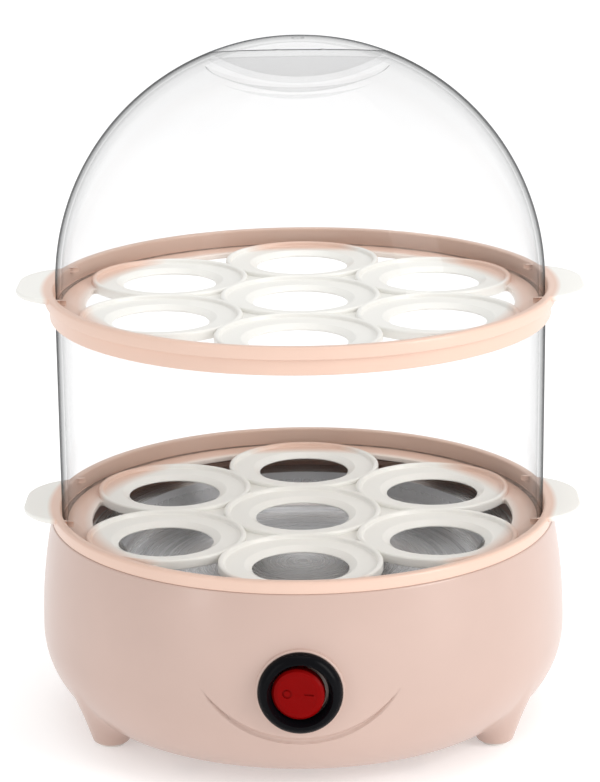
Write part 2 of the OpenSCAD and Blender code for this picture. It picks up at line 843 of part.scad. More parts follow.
module rocker_spring() {
  turns = 4;
  spring_wire_r = 0.16;
  coil_r = 0.95;
  low_n = -5.4;
  high_n = -3.2;
  last = 12 * turns;
  color(steel_colour) on_switch() turned(pivot_n, -rocker_tilt)
    wire([for (i = [0:last])
            [coil_r * cos(30 * i), coil_r * sin(30 * i), low_n + (high_n - low_n) * i / last]],
         spring_wire_r, 6);
}

// Brass strip with a round bead across its middle, which rocks on the tip of the middle blade.
module contact_lever() {
  color(brass_colour) on_switch() turned(lever_n, lever_tilt) {
    translate([0, 0, lever_n]) cube([2 * lever_half_l, lever_w, lever_t], center = true);
    translate([0, 0, lever_n]) rotate([90, 0, 0])
      cylinder(h = lever_w, r = lever_bead_r, center = true, $fn = small_fn);
  }
}

// ---------- mains side ----------

module cord_gland() {
  inner_n = gland_inner_y - gland_seat_y;
  nose_r = 6.6;
  snap_h = 3;
  snap_w = 1.2;
  color(black_colour) on_gland() difference() {
    union() {
      cylinder(h = gland_rim_t, r = gland_flange_r);
      translate([0, 0, gland_rim_t]) cylinder(h = gland_h - gland_rim_t, r1 = gland_flange_r, r2 = nose_r);
      translate([0, 0, inner_n]) cylinder(h = eps - inner_n, r = gland_neck_r);
      translate([0, 0, inner_n]) cylinder(h = snap_h, r1 = gland_neck_r, r2 = gland_neck_r + snap_w);
    }
    translate([0, 0, inner_n - 1]) cylinder(h = gland_h - inner_n + 2, r = gland_bore_r);
  }
}

// Bar that holds the cord down inside the body, between its two bosses.
module cord_clamp() {
  saddle_drop = 1.6;
  color(tray_colour) translate([0, clamp_y, ledge_z + clamp_boss_h]) difference() {
    translate([-clamp_bar.x / 2, -clamp_bar.y / 2, 0]) cube(clamp_bar);
    for (x = clamp_xs) translate([x, 0, -1]) cylinder(h = clamp_bar.z + 2, r = screw_hole_r);
    translate([0, 0, -saddle_drop]) rotate([90, 0, 0])
      cylinder(h = clamp_bar.y + 2, r = gland_bore_r, center = true);
  }
}

module cord_clamp_screws() {
  head_r = 2.8;
  head_h = 1.8;
  shaft_l = 12;
  color(steel_colour) for (x = clamp_xs) translate([x, clamp_y, ledge_z + clamp_boss_h + clamp_bar.z])
    slotted_screw(head_r, head_h, screw_shaft_r, shaft_l);
}

// Two-way block: a wire bore for each pole, two screw holes over it and a slot between the poles.
module terminal_block() {
  wire_hole_r = 1.9;
  screw_well_r = 1.75;
  slot = [1.5, 18, 5];
  slot_z = 7;
  color(ceramic_colour) translate([0, block_y, block_z]) difference() {
    translate([-block.x / 2, -block.y / 2, 0]) cube(block);
    for (x = block_xs) {
      translate([x, 0, block_bore_z]) rotate([90, 0, 0])
        cylinder(h = block.y + 4, r = wire_hole_r, center = true, $fn = small_fn);
      for (y = block_ys)
        translate([x, y, block_bore_z]) cylinder(h = block.z, r = screw_well_r, $fn = small_fn);
    }
    translate([-slot.x / 2, -slot.y / 2, slot_z]) cube(slot);
  }
}

module terminal_screws() {
  head_r = 1.7;
  head_h = 1.4;
  shaft_r = 1.3;
  shaft_l = 2;
  screw_z = 8.2;
  color(brass_colour) for (x = block_xs, y = block_ys)
    translate([x, block_y + y, block_z + screw_z]) slotted_screw(head_r, head_h, shaft_r, shaft_l);
}

// ---------- internal wiring ----------

wire_r = 1.1;
block_front_y = block_y - block.y / 2 - 0.2;
block_wire_z = block_z + block_bore_z;
blade_tip_y = switch_seat_y - blade_end_n;
blade_joint_y = blade_tip_y - 4;
tab_wire_x = 12;
tab_wire_z = plate_z - thermostat_cap_h - tab_drop - 1.7;

module live_wire() {
  color([0.45, 0.25, 0.12])
    bezier_wire([[block_xs[0], block_front_y, block_wire_z], [block_xs[0], 10, block_wire_z],
                 [-2 * blade_x, -25, 26], [-blade_x - 1.6, blade_joint_y, switch_z]], wire_r);
}

module neutral_wire() {
  pin = [element_pitch_r * sin(element_pin(-1)), -element_pitch_r * cos(element_pin(-1)), pin_bottom_z - 1.3];
  color([0.15, 0.30, 0.65])
    bezier_wire([[block_xs[1], block_front_y, block_wire_z], [block_xs[1], 18, block_wire_z + 1],
                 [pin.x, pin.y - 14, 16], pin], wire_r);
}

module switch_wire() {
  color(white_wire_colour)
    bezier_wire([[1.6, blade_joint_y, switch_z], [4, blade_tip_y + 24, 26], [14, -2, 14],
                 [tab_wire_x, thermostat_y, tab_wire_z]], wire_r);
}

module fuse_wire() {
  color(white_wire_colour)
    bezier_wire([[-tab_wire_x, thermostat_y, tab_wire_z], [-26, 12, 24], [-30, -20, 26],
                 [0.5 - lead_end_x, fuse_y, fuse_z]], wire_r);
}

// ---------- trays and clear parts ----------

// Six curved triangles left between the seats.
module steam_openings_outline() {
  difference() {
    circle(steam_outer_r, $fn = round_fn);
    circle(seat_pitch_r - hub_margin);
    for (i = [0:5]) rotate(60 * i) translate([0, -seat_pitch_r]) circle(seat_bead_r);
  }
}

module seat_places() {
  children();
  for (i = [0:5]) rotate(60 * i) translate([0, -seat_pitch_r, 0]) children();
}

module ears_outline() {
  difference() {
    for (s = [0, 1]) mirror([s, 0]) {
      for (y = [-ear_spread, ear_spread]) translate([ear_tip - ear_round_r, y]) circle(ear_round_r);
      translate([0, -ear_spread]) square([ear_tip, 2 * ear_spread]);
    }
    circle(tray_well_r + 1, $fn = round_fn);
  }
}

// One tray with its rim top at the given height.
module tray(rim_z) {
  floor_z = rim_z - tray_floor_drop;
  color(tray_colour) difference() {
    union() {
      rotate_extrude($fn = round_fn)
        polygon([[0, floor_z], [tray_well_r, floor_z], [tray_well_r, rim_z - tray_edge],
                 [tray_well_r + tray_edge, rim_z], [tray_rim_r - tray_edge, rim_z],
                 [tray_rim_r, rim_z - tray_edge], [tray_rim_r, rim_z - tray_rim_h],
                 [tray_skirt_r, rim_z - tray_rim_h], [tray_skirt_r, rim_z - tray_skirt_drop],
                 [tray_well_r + skirt_step, rim_z - tray_skirt_drop],
                 [tray_well_r + skirt_step, floor_z - tray_floor_t], [0, floor_z - tray_floor_t]]);
      translate([0, 0, rim_z - ear_t]) linear_extrude(ear_t) ears_outline();
      translate([0, 0, floor_z - eps]) linear_extrude(bead_h + eps) difference() {
        seat_places() circle(seat_bead_r);
        seat_places() circle(seat_bead_r - bead_w);
      }
    }
    translate([0, 0, floor_z - tray_floor_t - 1])
      linear_extrude(bead_h + tray_floor_t + 2) steam_openings_outline();
    seat_places() translate([0, 0, floor_z - tray_floor_t])
      cylinder(h = tray_floor_t + eps, r1 = seat_hole_r, r2 = seat_rim_r);
    seat_places() translate([0, 0, floor_z - tray_floor_t - 1]) cylinder(h = 1 + 2 * eps, r = seat_hole_r);
  }
}

module lower_tray() {
  tray(lower_rim_z);
}

module upper_tray() {
  tray(upper_rim_z);
}

module clear_ring() {
  color(clear_colour) translate([0, 0, ring_z]) difference() {
    cylinder(h = ring_h, r = ring_r, $fn = round_fn);
    translate([0, 0, -1]) cylinder(h = ring_h + 2, r = ring_r - clear_wall, $fn = round_fn);
  }
}

// Dome on a short straight wall, smaller than the outside by an inset.
module lid_form(inset) {
  r = lid_r - inset;
  rotate_extrude($fn = round_fn) {
    translate([0, lid_z - inset]) square([r, dome_z - lid_z + inset]);
    intersection() {
      translate([0, dome_z]) circle(r, $fn = fine_fn);
      translate([0, dome_z - eps]) square([r + 1, r + 1]);
    }
  }
}

// Space taken by the fingers on one side of the ridge, grown by the lid's wall for its inside.
module finger_scoop(grow) {
  intersection() {
    translate([0, -ridge_half_t - ridge_wall_r, dome_z])
      cylinder(h = lid_r + 10, r = ridge_wall_r + grow, $fn = round_fn);
    translate([0, -grip_centre_y, grip_centre_z]) rotate([grip_lean, 0, 0])
      translate([0, 0, grip_ball_r - grip_depth]) sphere(grip_ball_r + grow, $fn = round_fn);
  }
}

module both_scoops(grow) {
  finger_scoop(grow);
  mirror([0, 1, 0]) finger_scoop(grow);
}

module lid() {
  color(clear_colour) difference() {
    lid_form(0);
    both_scoops(0);
    difference() {
      lid_form(clear_wall);
      both_scoops(clear_wall);
    }
    cylinder(h = 3 * through, r = vent_r, $fn = small_fn);
  }
}

base_housing();
bottom_cover();
cover_screws();
foot_pads();
deck_ring();
deck_screws();
pan_seal();
water_pan();
heat_plate();
heating_element();
element_insulators();
clamp_bracket();
clamp_washer();
clamp_nut();
thermostat();
thermostat_tabs();
thermostat_clip();
thermostat_screws();
thermal_fuse();
fuse_sleeve();
fuse_clip();
switch_body();
switch_terminals();
indicator_lamp();
rocker();
rocker_plunger();
rocker_spring();
contact_lever();
cord_gland();
cord_clamp();
cord_clamp_screws();
terminal_block();
terminal_screws();
live_wire();
neutral_wire();
switch_wire();
fuse_wire();
lower_tray();
clear_ring();
upper_tray();
lid();
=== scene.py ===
import json
import math

import bmesh
import bpy
from mathutils import Matrix, Vector


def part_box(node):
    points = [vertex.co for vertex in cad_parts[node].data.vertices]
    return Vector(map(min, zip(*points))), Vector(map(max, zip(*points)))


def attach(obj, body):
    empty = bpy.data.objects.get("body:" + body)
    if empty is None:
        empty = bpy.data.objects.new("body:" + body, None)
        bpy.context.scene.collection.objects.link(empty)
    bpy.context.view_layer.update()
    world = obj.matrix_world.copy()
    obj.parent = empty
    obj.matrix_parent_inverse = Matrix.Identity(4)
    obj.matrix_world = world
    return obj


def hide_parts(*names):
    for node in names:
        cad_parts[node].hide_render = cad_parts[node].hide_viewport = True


# The looks of a two-tier egg cooker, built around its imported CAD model.
# Shapes are worked out in millimetres, and MM takes them to the frame's metres.

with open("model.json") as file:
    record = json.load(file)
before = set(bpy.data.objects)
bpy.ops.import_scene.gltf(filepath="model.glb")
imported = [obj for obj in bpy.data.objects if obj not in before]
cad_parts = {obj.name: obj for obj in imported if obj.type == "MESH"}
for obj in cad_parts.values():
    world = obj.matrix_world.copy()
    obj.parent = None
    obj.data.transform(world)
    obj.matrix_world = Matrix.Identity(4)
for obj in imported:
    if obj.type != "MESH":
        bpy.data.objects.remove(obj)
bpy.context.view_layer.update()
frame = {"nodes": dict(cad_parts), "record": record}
MM = 0.001


def top_of(node):
    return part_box(node)[1].z / MM


def bottom_of(node):
    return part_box(node)[0].z / MM


# ---------- forms: (vertices in mm, faces) ----------

def merged(*forms):
    """Several forms as one."""
    vertices, faces = [], []
    for more_vertices, more_faces in forms:
        start = len(vertices)
        vertices += more_vertices
        faces += [[start + i for i in face] for face in more_faces]
    return vertices, faces


def placed(form, matrix):
    """A form moved by a matrix in mm."""
    return [tuple(matrix @ Vector(v)) for v in form[0]], form[1]


def strip(first, second, closed=True):
    """Quads between two rows of vertex numbers."""
    last = len(first) if closed else len(first) - 1
    wrap = len(first)
    return [[first[i], first[(i + 1) % wrap], second[(i + 1) % wrap], second[i]] for i in range(last)]


def along_arc(centre, start, end, steps):
    """Points from start to end, the short way round centre."""
    a, b = Vector(start) - centre, Vector(end) - centre
    turn = a.angle(b)
    if turn < 1e-4:
        return [Vector(start)]
    return [
        centre + (a * math.sin((1 - k / steps) * turn) + b * math.sin(k / steps * turn)) / math.sin(turn)
        for k in range(steps + 1)
    ]


def rounded(corners, steps=5):
    """Closed outline through corners (x, y, radius), each rounded by an arc of its radius."""
    outline = []
    for i, (x, y, radius) in enumerate(corners):
        corner = Vector((x, y))
        if radius == 0:
            outline.append(corner)
            continue
        back = (Vector(corners[i - 1][:2]) - corner).normalized()
        ahead = (Vector(corners[(i + 1) % len(corners)][:2]) - corner).normalized()
        half = back.angle(ahead) / 2
        reach = radius / math.tan(half)
        centre = corner + (back + ahead).normalized() * radius / math.sin(half)
        outline += along_arc(centre, corner + back * reach, corner + ahead * reach, steps)
    return [tuple(p) for p in outline]


def lathe(profile, steps=180):
    """A closed profile of (radius, height) points turned about Z."""
    vertices, rows = [], []
    for r, z in profile:
        rows.append(range(len(vertices), len(vertices) + steps))
        for k in range(steps):
            turn = 2 * math.pi * k / steps
            vertices.append((r * math.sin(turn), -r * math.cos(turn), z))
    faces = []
    for i, row in enumerate(rows):
        faces += strip(row, rows[(i + 1) % len(rows)])
    return vertices, faces


def circle(radius, steps, x=0, y=0, hole=False):
    """Points on a circle, clockwise for a hole."""
    sign = -1 if hole else 1
    turns = [sign * 2 * math.pi * k / steps for k in range(steps)]
    return [(x + radius * math.cos(turn), y + radius * math.sin(turn)) for turn in turns]


def inset(outline, distance):
    """A closed outline moved to the left of its own direction, which is into the material."""
    moved = []
    for i, point in enumerate(outline):
        before, after = Vector(outline[i - 1]), Vector(outline[(i + 1) % len(outline)])
        along = (after - before).normalized()
        moved.append((point[0] - along.y * distance, point[1] + along.x * distance))
    return moved


def plate(outlines, low, high, edge, steps=3):
    """A flat plate between two heights with rounded edges: an outline, then those of its holes."""
    bm = bmesh.new()
    ends = {"top": [], "bottom": []}
    for outline in outlines:
        levels = []
        for k in range(steps + 1):
            turn = k / steps * math.pi / 2
            levels.append((edge * (1 - math.sin(turn)), high - edge * (1 - math.cos(turn))))
        levels += [(shift, low + high - z) for shift, z in reversed(levels)]
        rings = [[bm.verts.new((x, y, z)) for x, y in inset(outline, shift)] for shift, z in levels]
        for first, second in zip(rings, rings[1:]):
            for quad in strip(first, second):
                bm.faces.new(quad)
        for name, ring in (("top", rings[0]), ("bottom", rings[-1])):
            ends[name] += [bm.edges.get((ring[i - 1], ring[i])) for i in range(len(ring))]
    for edges in ends.values():
        bmesh.ops.triangle_fill(bm, use_beauty=True, use_dissolve=False, edges=edges)
    bm.verts.index_update()
    form = [tuple(v.co) for v in bm.verts], [[v.index for v in f.verts] for f in bm.faces]
    bm.free()
    return form


def piece(name, form, body, material, nodes=(), sharp=40):
    """A finished mesh object that rides on a body and stands for CAD nodes."""
    mesh = bpy.data.meshes.new(name)
    mesh.from_pydata([Vector(v) * MM for v in form[0]], [], form[1])
    bm = bmesh.new()
    bm.from_mesh(mesh)
    bmesh.ops.remove_doubles(bm, verts=bm.verts, dist=1e-7)
    bmesh.ops.dissolve_degenerate(bm, edges=bm.edges, dist=1e-8)
    bmesh.ops.recalc_face_normals(bm, faces=bm.faces)
    bm.to_mesh(mesh)
    bm.free()
    mesh.shade_smooth()
    mesh.set_sharp_from_angle(angle=math.radians(sharp))
    mesh.materials.append(material)
    obj = bpy.data.objects.new(name, mesh)
    bpy.context.scene.collection.objects.link(obj)
    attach(obj, body)
    if nodes:
        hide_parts(*nodes)
    return obj


# ---------- materials ----------

class Tree:
    """A new material's node tree, with short calls for what every material here needs."""

    def __init__(self, name):
        self.material = bpy.data.materials.new(name)
        self.material.use_nodes = True
        self.nodes = self.material.node_tree.nodes
        self.links = self.material.node_tree.links
        self.shader = self.nodes["Principled BSDF"]
        self.place = self.nodes.new("ShaderNodeTexCoord").outputs["Object"]

    def set(self, **values):
        for name, value in values.items():
            self.shader.inputs[name.replace("_", " ")].default_value = value

    def noise(self, scale, detail=3, rough=0.5, place=None):
        node = self.nodes.new("ShaderNodeTexNoise")
        node.inputs["Scale"].default_value = scale
        node.inputs["Detail"].default_value = detail
        node.inputs["Roughness"].default_value = rough
        self.links.new(place or self.place, node.inputs["Vector"])
        return node.outputs["Fac"]

    def ranged(self, source, low, high, start=0.3, end=0.7):
        node = self.nodes.new("ShaderNodeMapRange")
        node.inputs["From Min"].default_value = start
        node.inputs["From Max"].default_value = end
        node.inputs["To Min"].default_value = low
        node.inputs["To Max"].default_value = high
        self.links.new(source, node.inputs["Value"])
        return node.outputs["Result"]

    def colour(self, source, first, second):
        node = self.nodes.new("ShaderNodeMix")
        node.data_type = "RGBA"
        node.inputs["A"].default_value = (*first, 1)
        node.inputs["B"].default_value = (*second, 1)
        self.links.new(self.ranged(source, 0, 1), node.inputs["Factor"])
        self.links.new(node.outputs["Result"], self.shader.inputs["Base Color"])

    def blend(self, share, first, second):
        node = self.nodes.new("ShaderNodeMixRGB")
        self.links.new(share, node.inputs[0])
        self.links.new(first, node.inputs[1])
        self.links.new(second, node.inputs[2])
        return node.outputs[0]

    def roughness(self, source, low, high):
        self.links.new(self.ranged(source, low, high), self.shader.inputs["Roughness"])

    def bump(self, source, height_mm):
        node = self.nodes.new("ShaderNodeBump")
        node.inputs["Strength"].default_value = 1.0
        node.inputs["Distance"].default_value = height_mm * MM
        self.links.new(source, node.inputs["Height"])
        self.links.new(node.outputs["Normal"], self.shader.inputs["Normal"])

    def turned(self, stretch):
        """Coordinates that only vary with the distance from the Z axis, for lathe marks."""
        apart = self.nodes.new("ShaderNodeSeparateXYZ")
        flat = self.nodes.new("ShaderNodeCombineXYZ")
        length = self.nodes.new("ShaderNodeVectorMath")
        length.operation = "LENGTH"
        together = self.nodes.new("ShaderNodeCombineXYZ")
        self.links.new(self.place, apart.inputs[0])
        self.links.new(apart.outputs["X"], flat.inputs["X"])
        self.links.new(apart.outputs["Y"], flat.inputs["Y"])
        self.links.new(flat.outputs[0], length.inputs[0])
        self.links.new(length.outputs["Value"], together.inputs["X"])
        low = self.ranged(apart.outputs["Z"], 0, stretch, 0, 1)
        self.links.new(low, together.inputs["Z"])
        return together.outputs[0]


def shade(colour, factor):
    return tuple(min(1, c * factor) for c in colour)


MOULD_GRAIN_MM = 0.0003


def moulded_plastic(name, colour, roughness, coat=0.0, gloss=0.5):
    """Moulded plastic: a little uneven in colour and gloss, with a very fine mould grain."""
    tree = Tree(name)
    cloud = tree.noise(35, 4)
    tree.colour(cloud, shade(colour, 0.975), shade(colour, 1.02))
    tree.roughness(tree.noise(25, 2), roughness - 0.01, roughness + 0.01)
    tree.bump(tree.noise(700, 2), MOULD_GRAIN_MM)
    tree.set(IOR=1.48, Specular_IOR_Level=gloss, Coat_Weight=coat, Coat_Roughness=0.12)
    return tree.material


def metal(name, colour, roughness, brushed=0.0, lathe_marks=False):
    """Bare metal with fine brushing or lathe marks and a slightly uneven polish."""
    tree = Tree(name)
    tree.set(Metallic=1.0)
    if lathe_marks:
        marks = tree.noise(2600, 4, 0.7, tree.turned(0.02))
    else:
        marks = tree.noise(1500, 4, 0.7)
    tree.colour(tree.noise(60, 3), shade(colour, 0.93), colour)
    tree.roughness(marks, roughness - 0.06, roughness + 0.1)
    tree.bump(marks, 0.006)
    if brushed:
        tree.set(Anisotropic=brushed)
    return tree.material


def matt(name, colour, roughness, grain_scale, grain_mm, sheen=0.0):
    """Matt surfaces such as silicone, ceramic, phenolic, wire and woven sleeve."""
    tree = Tree(name)
    grain = tree.noise(grain_scale, 5, 0.65)
    tree.colour(tree.noise(80, 4), shade(colour, 0.92), shade(colour, 1.04))
    tree.roughness(grain, roughness - 0.05, roughness + 0.08)
    tree.bump(grain, grain_mm)
    if sheen:
        tree.set(Sheen_Weight=sheen, Sheen_Roughness=0.4)
    return tree.material


def wall_ramp(tree, facing, stops_wanted, edge_colour):
    """Colour of what is seen through a clear wall, from face on to edge on."""
    tint = tree.nodes.new("ShaderNodeValToRGB")
    tint.color_ramp.interpolation = "EASE"
    stops = tint.color_ramp.elements
    stops.remove(stops[len(stops) - 1])
    for number, (position, share) in enumerate(stops_wanted):
        stop = stops[0] if number == 0 else stops.new(position)
        stop.color = (*(CLEAREST + (edge - CLEAREST) * share for edge in edge_colour), 1)
    tree.links.new(facing, tint.inputs["Fac"])
    return tint.outputs["Color"]


def skins(tree):
    """Masks for the clear ring and lid: outer side, walls and floors of the finger grips (where painted shade
    goes), and flat rims.
    """
    nodes, links = tree.nodes, tree.links

    def math_node(operation, first, second):
        node = nodes.new("ShaderNodeMath")
        node.operation = operation
        for socket, value in zip(node.inputs, (first, second)):
            if isinstance(value, (int, float)):
                socket.default_value = value
            else:
                links.new(value, socket)
        return node.outputs[0]

    apart = nodes.new("ShaderNodeSeparateXYZ")
    links.new(tree.place, apart.inputs[0])
    x, y, z = (apart.outputs[axis] for axis in "XYZ")
    up = math_node("MAXIMUM", math_node("SUBTRACT", z, DOME_Z * MM), 0)
    flat = math_node("ADD", math_node("MULTIPLY", x, x), math_node("MULTIPLY", y, y))
    whole = math_node("ADD", flat, math_node("MULTIPLY", up, up))
    outer = math_node("GREATER_THAN", whole, (OUTER_SKIN_R * MM) ** 2)
    sunk = math_node("LESS_THAN", whole, (GRIP_SKIN_R * MM) ** 2)
    grip_shade_mask = math_node("MULTIPLY", sunk, tree.ranged(up, 0, 1, GRIP_LOW * MM, GRIP_HIGH * MM))
    level = nodes.new("ShaderNodeSeparateXYZ")
    links.new(nodes.new("ShaderNodeNewGeometry").outputs["Normal"], level.inputs[0])
    flat_face = math_node("GREATER_THAN", math_node("ABSOLUTE", level.outputs["Z"], 0), RIM_SLOPE)
    on_rim = math_node("MULTIPLY", flat_face, math_node("LESS_THAN", z, DOME_Z * MM))
    return outer, grip_shade_mask, on_rim


def clear_plastic(name, edge_colour, mirror_share=0.3):
    """Clear wall: see-through face on, darker edge on, with a clean gloss on its outer side."""
    tree = Tree(name)
    nodes, links = tree.nodes, tree.links
    nodes.remove(tree.shader)
    layer = nodes.new("ShaderNodeLayerWeight")
    layer.inputs["Blend"].default_value = 0.5
    facing = layer.outputs["Facing"]
    outer, grip_shade_mask, on_rim = skins(tree)
    tint = tree.blend(outer, wall_ramp(tree, facing, INNER_SKIN, edge_colour),
                      wall_ramp(tree, facing, OUTER_SKIN, edge_colour))
    # painted shade: an even grey tint in the finger grips
    tint = tree.blend(grip_shade_mask, tint, wall_ramp(tree, facing, GRIP_PAINTED_SHADE, edge_colour))
    tint = tree.blend(on_rim, tint, wall_ramp(tree, facing, RIM_SKIN, edge_colour))
    through = nodes.new("ShaderNodeBsdfTransparent")
    links.new(tint, through.inputs["Color"])
    gloss = nodes.new("ShaderNodeBsdfGlossy")
    links.new(tree.ranged(tree.noise(60, 3), 0.02, 0.05), gloss.inputs["Roughness"])
    fresnel = nodes.new("ShaderNodeFresnel")
    fresnel.inputs["IOR"].default_value = 1.45
    side = nodes.new("ShaderNodeNewGeometry")
    outward = nodes.new("ShaderNodeMath")
    outward.operation = "MULTIPLY_ADD"
    outward.inputs[1].default_value = -mirror_share
    outward.inputs[2].default_value = mirror_share
    links.new(side.outputs["Backfacing"], outward.inputs[0])
    mirror = nodes.new("ShaderNodeMath")
    mirror.operation = "MULTIPLY"
    links.new(fresnel.outputs[0], mirror.inputs[0])
    links.new(outward.outputs[0], mirror.inputs[1])
    both = nodes.new("ShaderNodeMixShader")
    links.new(mirror.outputs[0], both.inputs[0])
    links.new(through.outputs[0], both.inputs[1])
    links.new(gloss.outputs[0], both.inputs[2])
    links.new(both.outputs[0], nodes["Material Output"].inputs["Surface"])
    return tree.material


def tray_plastic():
    """Pink-cream moulded plastic with paler ears and a paler floor: painted light that stands in for light
    shining through where it is thin.
    """
    tree = Tree("tray_plastic")
    tree.colour(tree.noise(35, 4), shade(TRAY_CREAM, 0.975), shade(TRAY_CREAM, 1.02))
    tree.roughness(tree.noise(25, 2), 0.32, 0.35)
    tree.set(IOR=1.48, Coat_Weight=0.15, Coat_Roughness=0.12)
    apart = tree.nodes.new("ShaderNodeSeparateXYZ")
    tree.links.new(tree.turned(0), apart.inputs[0])
    colour = tree.shader.inputs["Base Color"].links[0].from_socket
    # Painted light: blends to a paler cream past the rim towards the ears and inside radius 73 on the floor,
    # standing in for light shining through the thin plastic.
    for near, far in ((83.2, 85.0), (73.0, 68.0)):
        lit_through_paint = tree.nodes.new("ShaderNodeMixRGB")
        tree.links.new(tree.ranged(apart.outputs["X"], 0, 1, near * MM, far * MM), lit_through_paint.inputs[0])
        tree.links.new(colour, lit_through_paint.inputs[1])
        lit_through_paint.inputs[2].default_value = (*PAINTED_LIT_THROUGH_CREAM, 1)
        colour = lit_through_paint.outputs[0]
    tree.links.new(colour, tree.shader.inputs["Base Color"])
    return tree.material


# How dark a clear skin looks from face on (0) to edge on (1), as shares of the edge colour. The view
# passes through more plastic the flatter it meets the wall, so it only ever gets darker.
OUTER_SKIN = [(0.0, 0.015), (0.3, 0.025), (0.62, 0.045), (0.72, 0.09), (0.78, 0.18), (0.84, 0.38),
              (0.88, 0.65), (0.91, 1.0)]
INNER_SKIN = [(0.0, 0.01), (0.6, 0.02), (0.95, 0.06)]
# Painted shade: the walls and floors of the finger grips get an even light grey tint, darker face on than the
# outer skin, standing in for the shade seen in the recesses.
GRIP_PAINTED_SHADE = [(0.0, 0.035), (0.9, 0.05)]
RIM_SKIN = [(0.0, 0.2), (0.9, 0.35)]
RIM_SLOPE = 0.7
CLEAREST = 0.995
DOME_Z = top_of("lid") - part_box("lid")[1].x / MM
OUTER_SKIN_R = 78.9
GRIP_SKIN_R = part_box("lid")[1].x / MM - 0.45
GRIP_LOW, GRIP_HIGH = 48.0, 60.0

BODY_PINK = (0.54, 0.39, 0.335)
TRAY_CREAM = (0.73, 0.51, 0.41)
# paler cream painted on the tray's ears and floor, as painted light shining through the thin plastic
PAINTED_LIT_THROUGH_CREAM = (0.82, 0.81, 0.77)
looks = {
    "body_plastic": moulded_plastic("body_plastic", BODY_PINK, 0.30, coat=0.25),
    "tray_plastic": tray_plastic(),
    "clear_plastic": clear_plastic("clear_plastic", (0.05, 0.055, 0.06)),
    "stainless": metal("stainless", (0.72, 0.72, 0.73), 0.26, brushed=0.5, lathe_marks=True),
    "spring_steel": metal("spring_steel", (0.62, 0.63, 0.65), 0.34),
    "aluminium_plate": metal("aluminium_plate", (0.78, 0.79, 0.81), 0.36, lathe_marks=True),
    "element_sheath": matt("element_sheath", (0.17, 0.16, 0.155), 0.55, 900, 0.02),
    "terminal_brass": metal("terminal_brass", (0.80, 0.60, 0.28), 0.28),
    "silicone": matt("silicone", (0.82, 0.80, 0.76), 0.6, 700, 0.01, sheen=0.15),
    "switch_black": moulded_plastic("switch_black", (0.003, 0.003, 0.004), 0.24, gloss=0.06),
    "rocker_red": moulded_plastic("rocker_red", (0.21, 0.0015, 0.0015), 0.25, gloss=0.04),
    "nylon_white": matt("nylon_white", (0.85, 0.85, 0.82), 0.5, 1000, 0.01),
    "ceramic": matt("ceramic", (0.86, 0.84, 0.79), 0.7, 600, 0.03),
    "phenolic": matt("phenolic", (0.045, 0.035, 0.03), 0.5, 800, 0.02),
    "sleeve": matt("sleeve", (0.80, 0.77, 0.66), 0.85, 1600, 0.08, sheen=0.3),
    "lamp_glass": clear_plastic("lamp_glass", (0.6, 0.35, 0.2)),
    "wire_brown": matt("wire_brown", (0.16, 0.06, 0.025), 0.45, 1200, 0.01),
    "wire_blue": matt("wire_blue", (0.03, 0.09, 0.34), 0.45, 1200, 0.01),
    "wire_white": matt("wire_white", (0.80, 0.80, 0.77), 0.45, 1200, 0.01),
}

slot_of = {row["node"]: row["material_slot"] for row in frame["record"]["subparts"]}
for node_name, node_object in frame["nodes"].items():
    node_object.data.materials.clear()
    node_object.data.materials.append(looks[slot_of[node_name]])


# ---------- the body ----------

LOW_CURVE_R, HIGH_CURVE_R = 29.85, 176.8
BELLY_R, BELLY_Z = 87.25, 31.6
LOW_X, HIGH_X = BELLY_R - LOW_CURVE_R, BELLY_R - HIGH_CURVE_R
UNDER_Z, RIM_Z = 5.8, top_of("base_housing")
UNDER_BLEND = 1.5
WALL = 2.4
BORE_R = 82.1
COVER_HOLE_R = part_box("bottom_cover")[1].x / MM + 0.3
LEDGE_R, LEDGE_LOW, LEDGE_HIGH = 52, 7.8, 9.8
BELLY_S = LOW_CURVE_R * math.pi / 2

FOOT_PITCH, FOOT_R, FOOT_LIFT, FOOT_BLEND = 72.6, 6.2, 0.8, 5.0
FOOT_SLOPE, FOOT_EDGE = 2.93, 1.8
PAD_R = 4.2
WELL_PITCH, WELL_R, WELL_TOP, COLUMN_R, COLUMN_TOP = 67.5, 3.6, 31.0, 4.9, 34.0
LEG_BEARINGS, SCREW_BEARINGS = (60, 180, 300), (32, 120, 240, 328)
PILOT_R = 1.75
SWITCH_Z, SWITCH_HOLE_R, SWITCH_SEAT_Y, SWITCH_PAD_R = 38.0, 10.05, 87.3, 13.8
GLAND_Z, GLAND_HOLE_R, GLAND_SEAT_Y, GLAND_PAD_R = 32.0, 6.6, 87.4, 9.6

SMILE_HALF_W, SMILE_END_Z, SMILE_LOW_Z, SMILE_W, SMILE_DEPTH = 32.0, 38.6, 19.8, 2.3, 1.0


def soft_min(a, b, width):
    overlap = max(width - abs(a - b), 0) / width
    return min(a, b) - overlap * overlap * width / 4


def profile_point(s):
    """Radius and height of the body's outer surface at an arc length from the middle of its lower curve."""
    if s < BELLY_S:
        turn = s / LOW_CURVE_R
        curve_z = BELLY_Z - LOW_CURVE_R * math.cos(turn)
        return LOW_X + LOW_CURVE_R * math.sin(turn), -soft_min(-UNDER_Z, -curve_z, UNDER_BLEND)
    turn = (s - BELLY_S) / HIGH_CURVE_R
    return HIGH_X + HIGH_CURVE_R * math.cos(turn), BELLY_Z + HIGH_CURVE_R * math.sin(turn)


def s_of_radius(r):
    """Arc length at which the lower curve has this radius."""
    return LOW_CURVE_R * math.asin(min(1, (r - LOW_X) / LOW_CURVE_R))


def s_of_height(z):
    """Arc length at which the side has this height."""
    if z < BELLY_Z:
        return LOW_CURVE_R * math.acos((BELLY_Z - z) / LOW_CURVE_R)
    return BELLY_S + HIGH_CURVE_R * math.asin((z - BELLY_Z) / HIGH_CURVE_R)


def arc_radius(drop):
    """Radius of the arc through both ends of the smile that hangs by this drop."""
    return (SMILE_HALF_W ** 2 + drop ** 2) / (2 * drop)


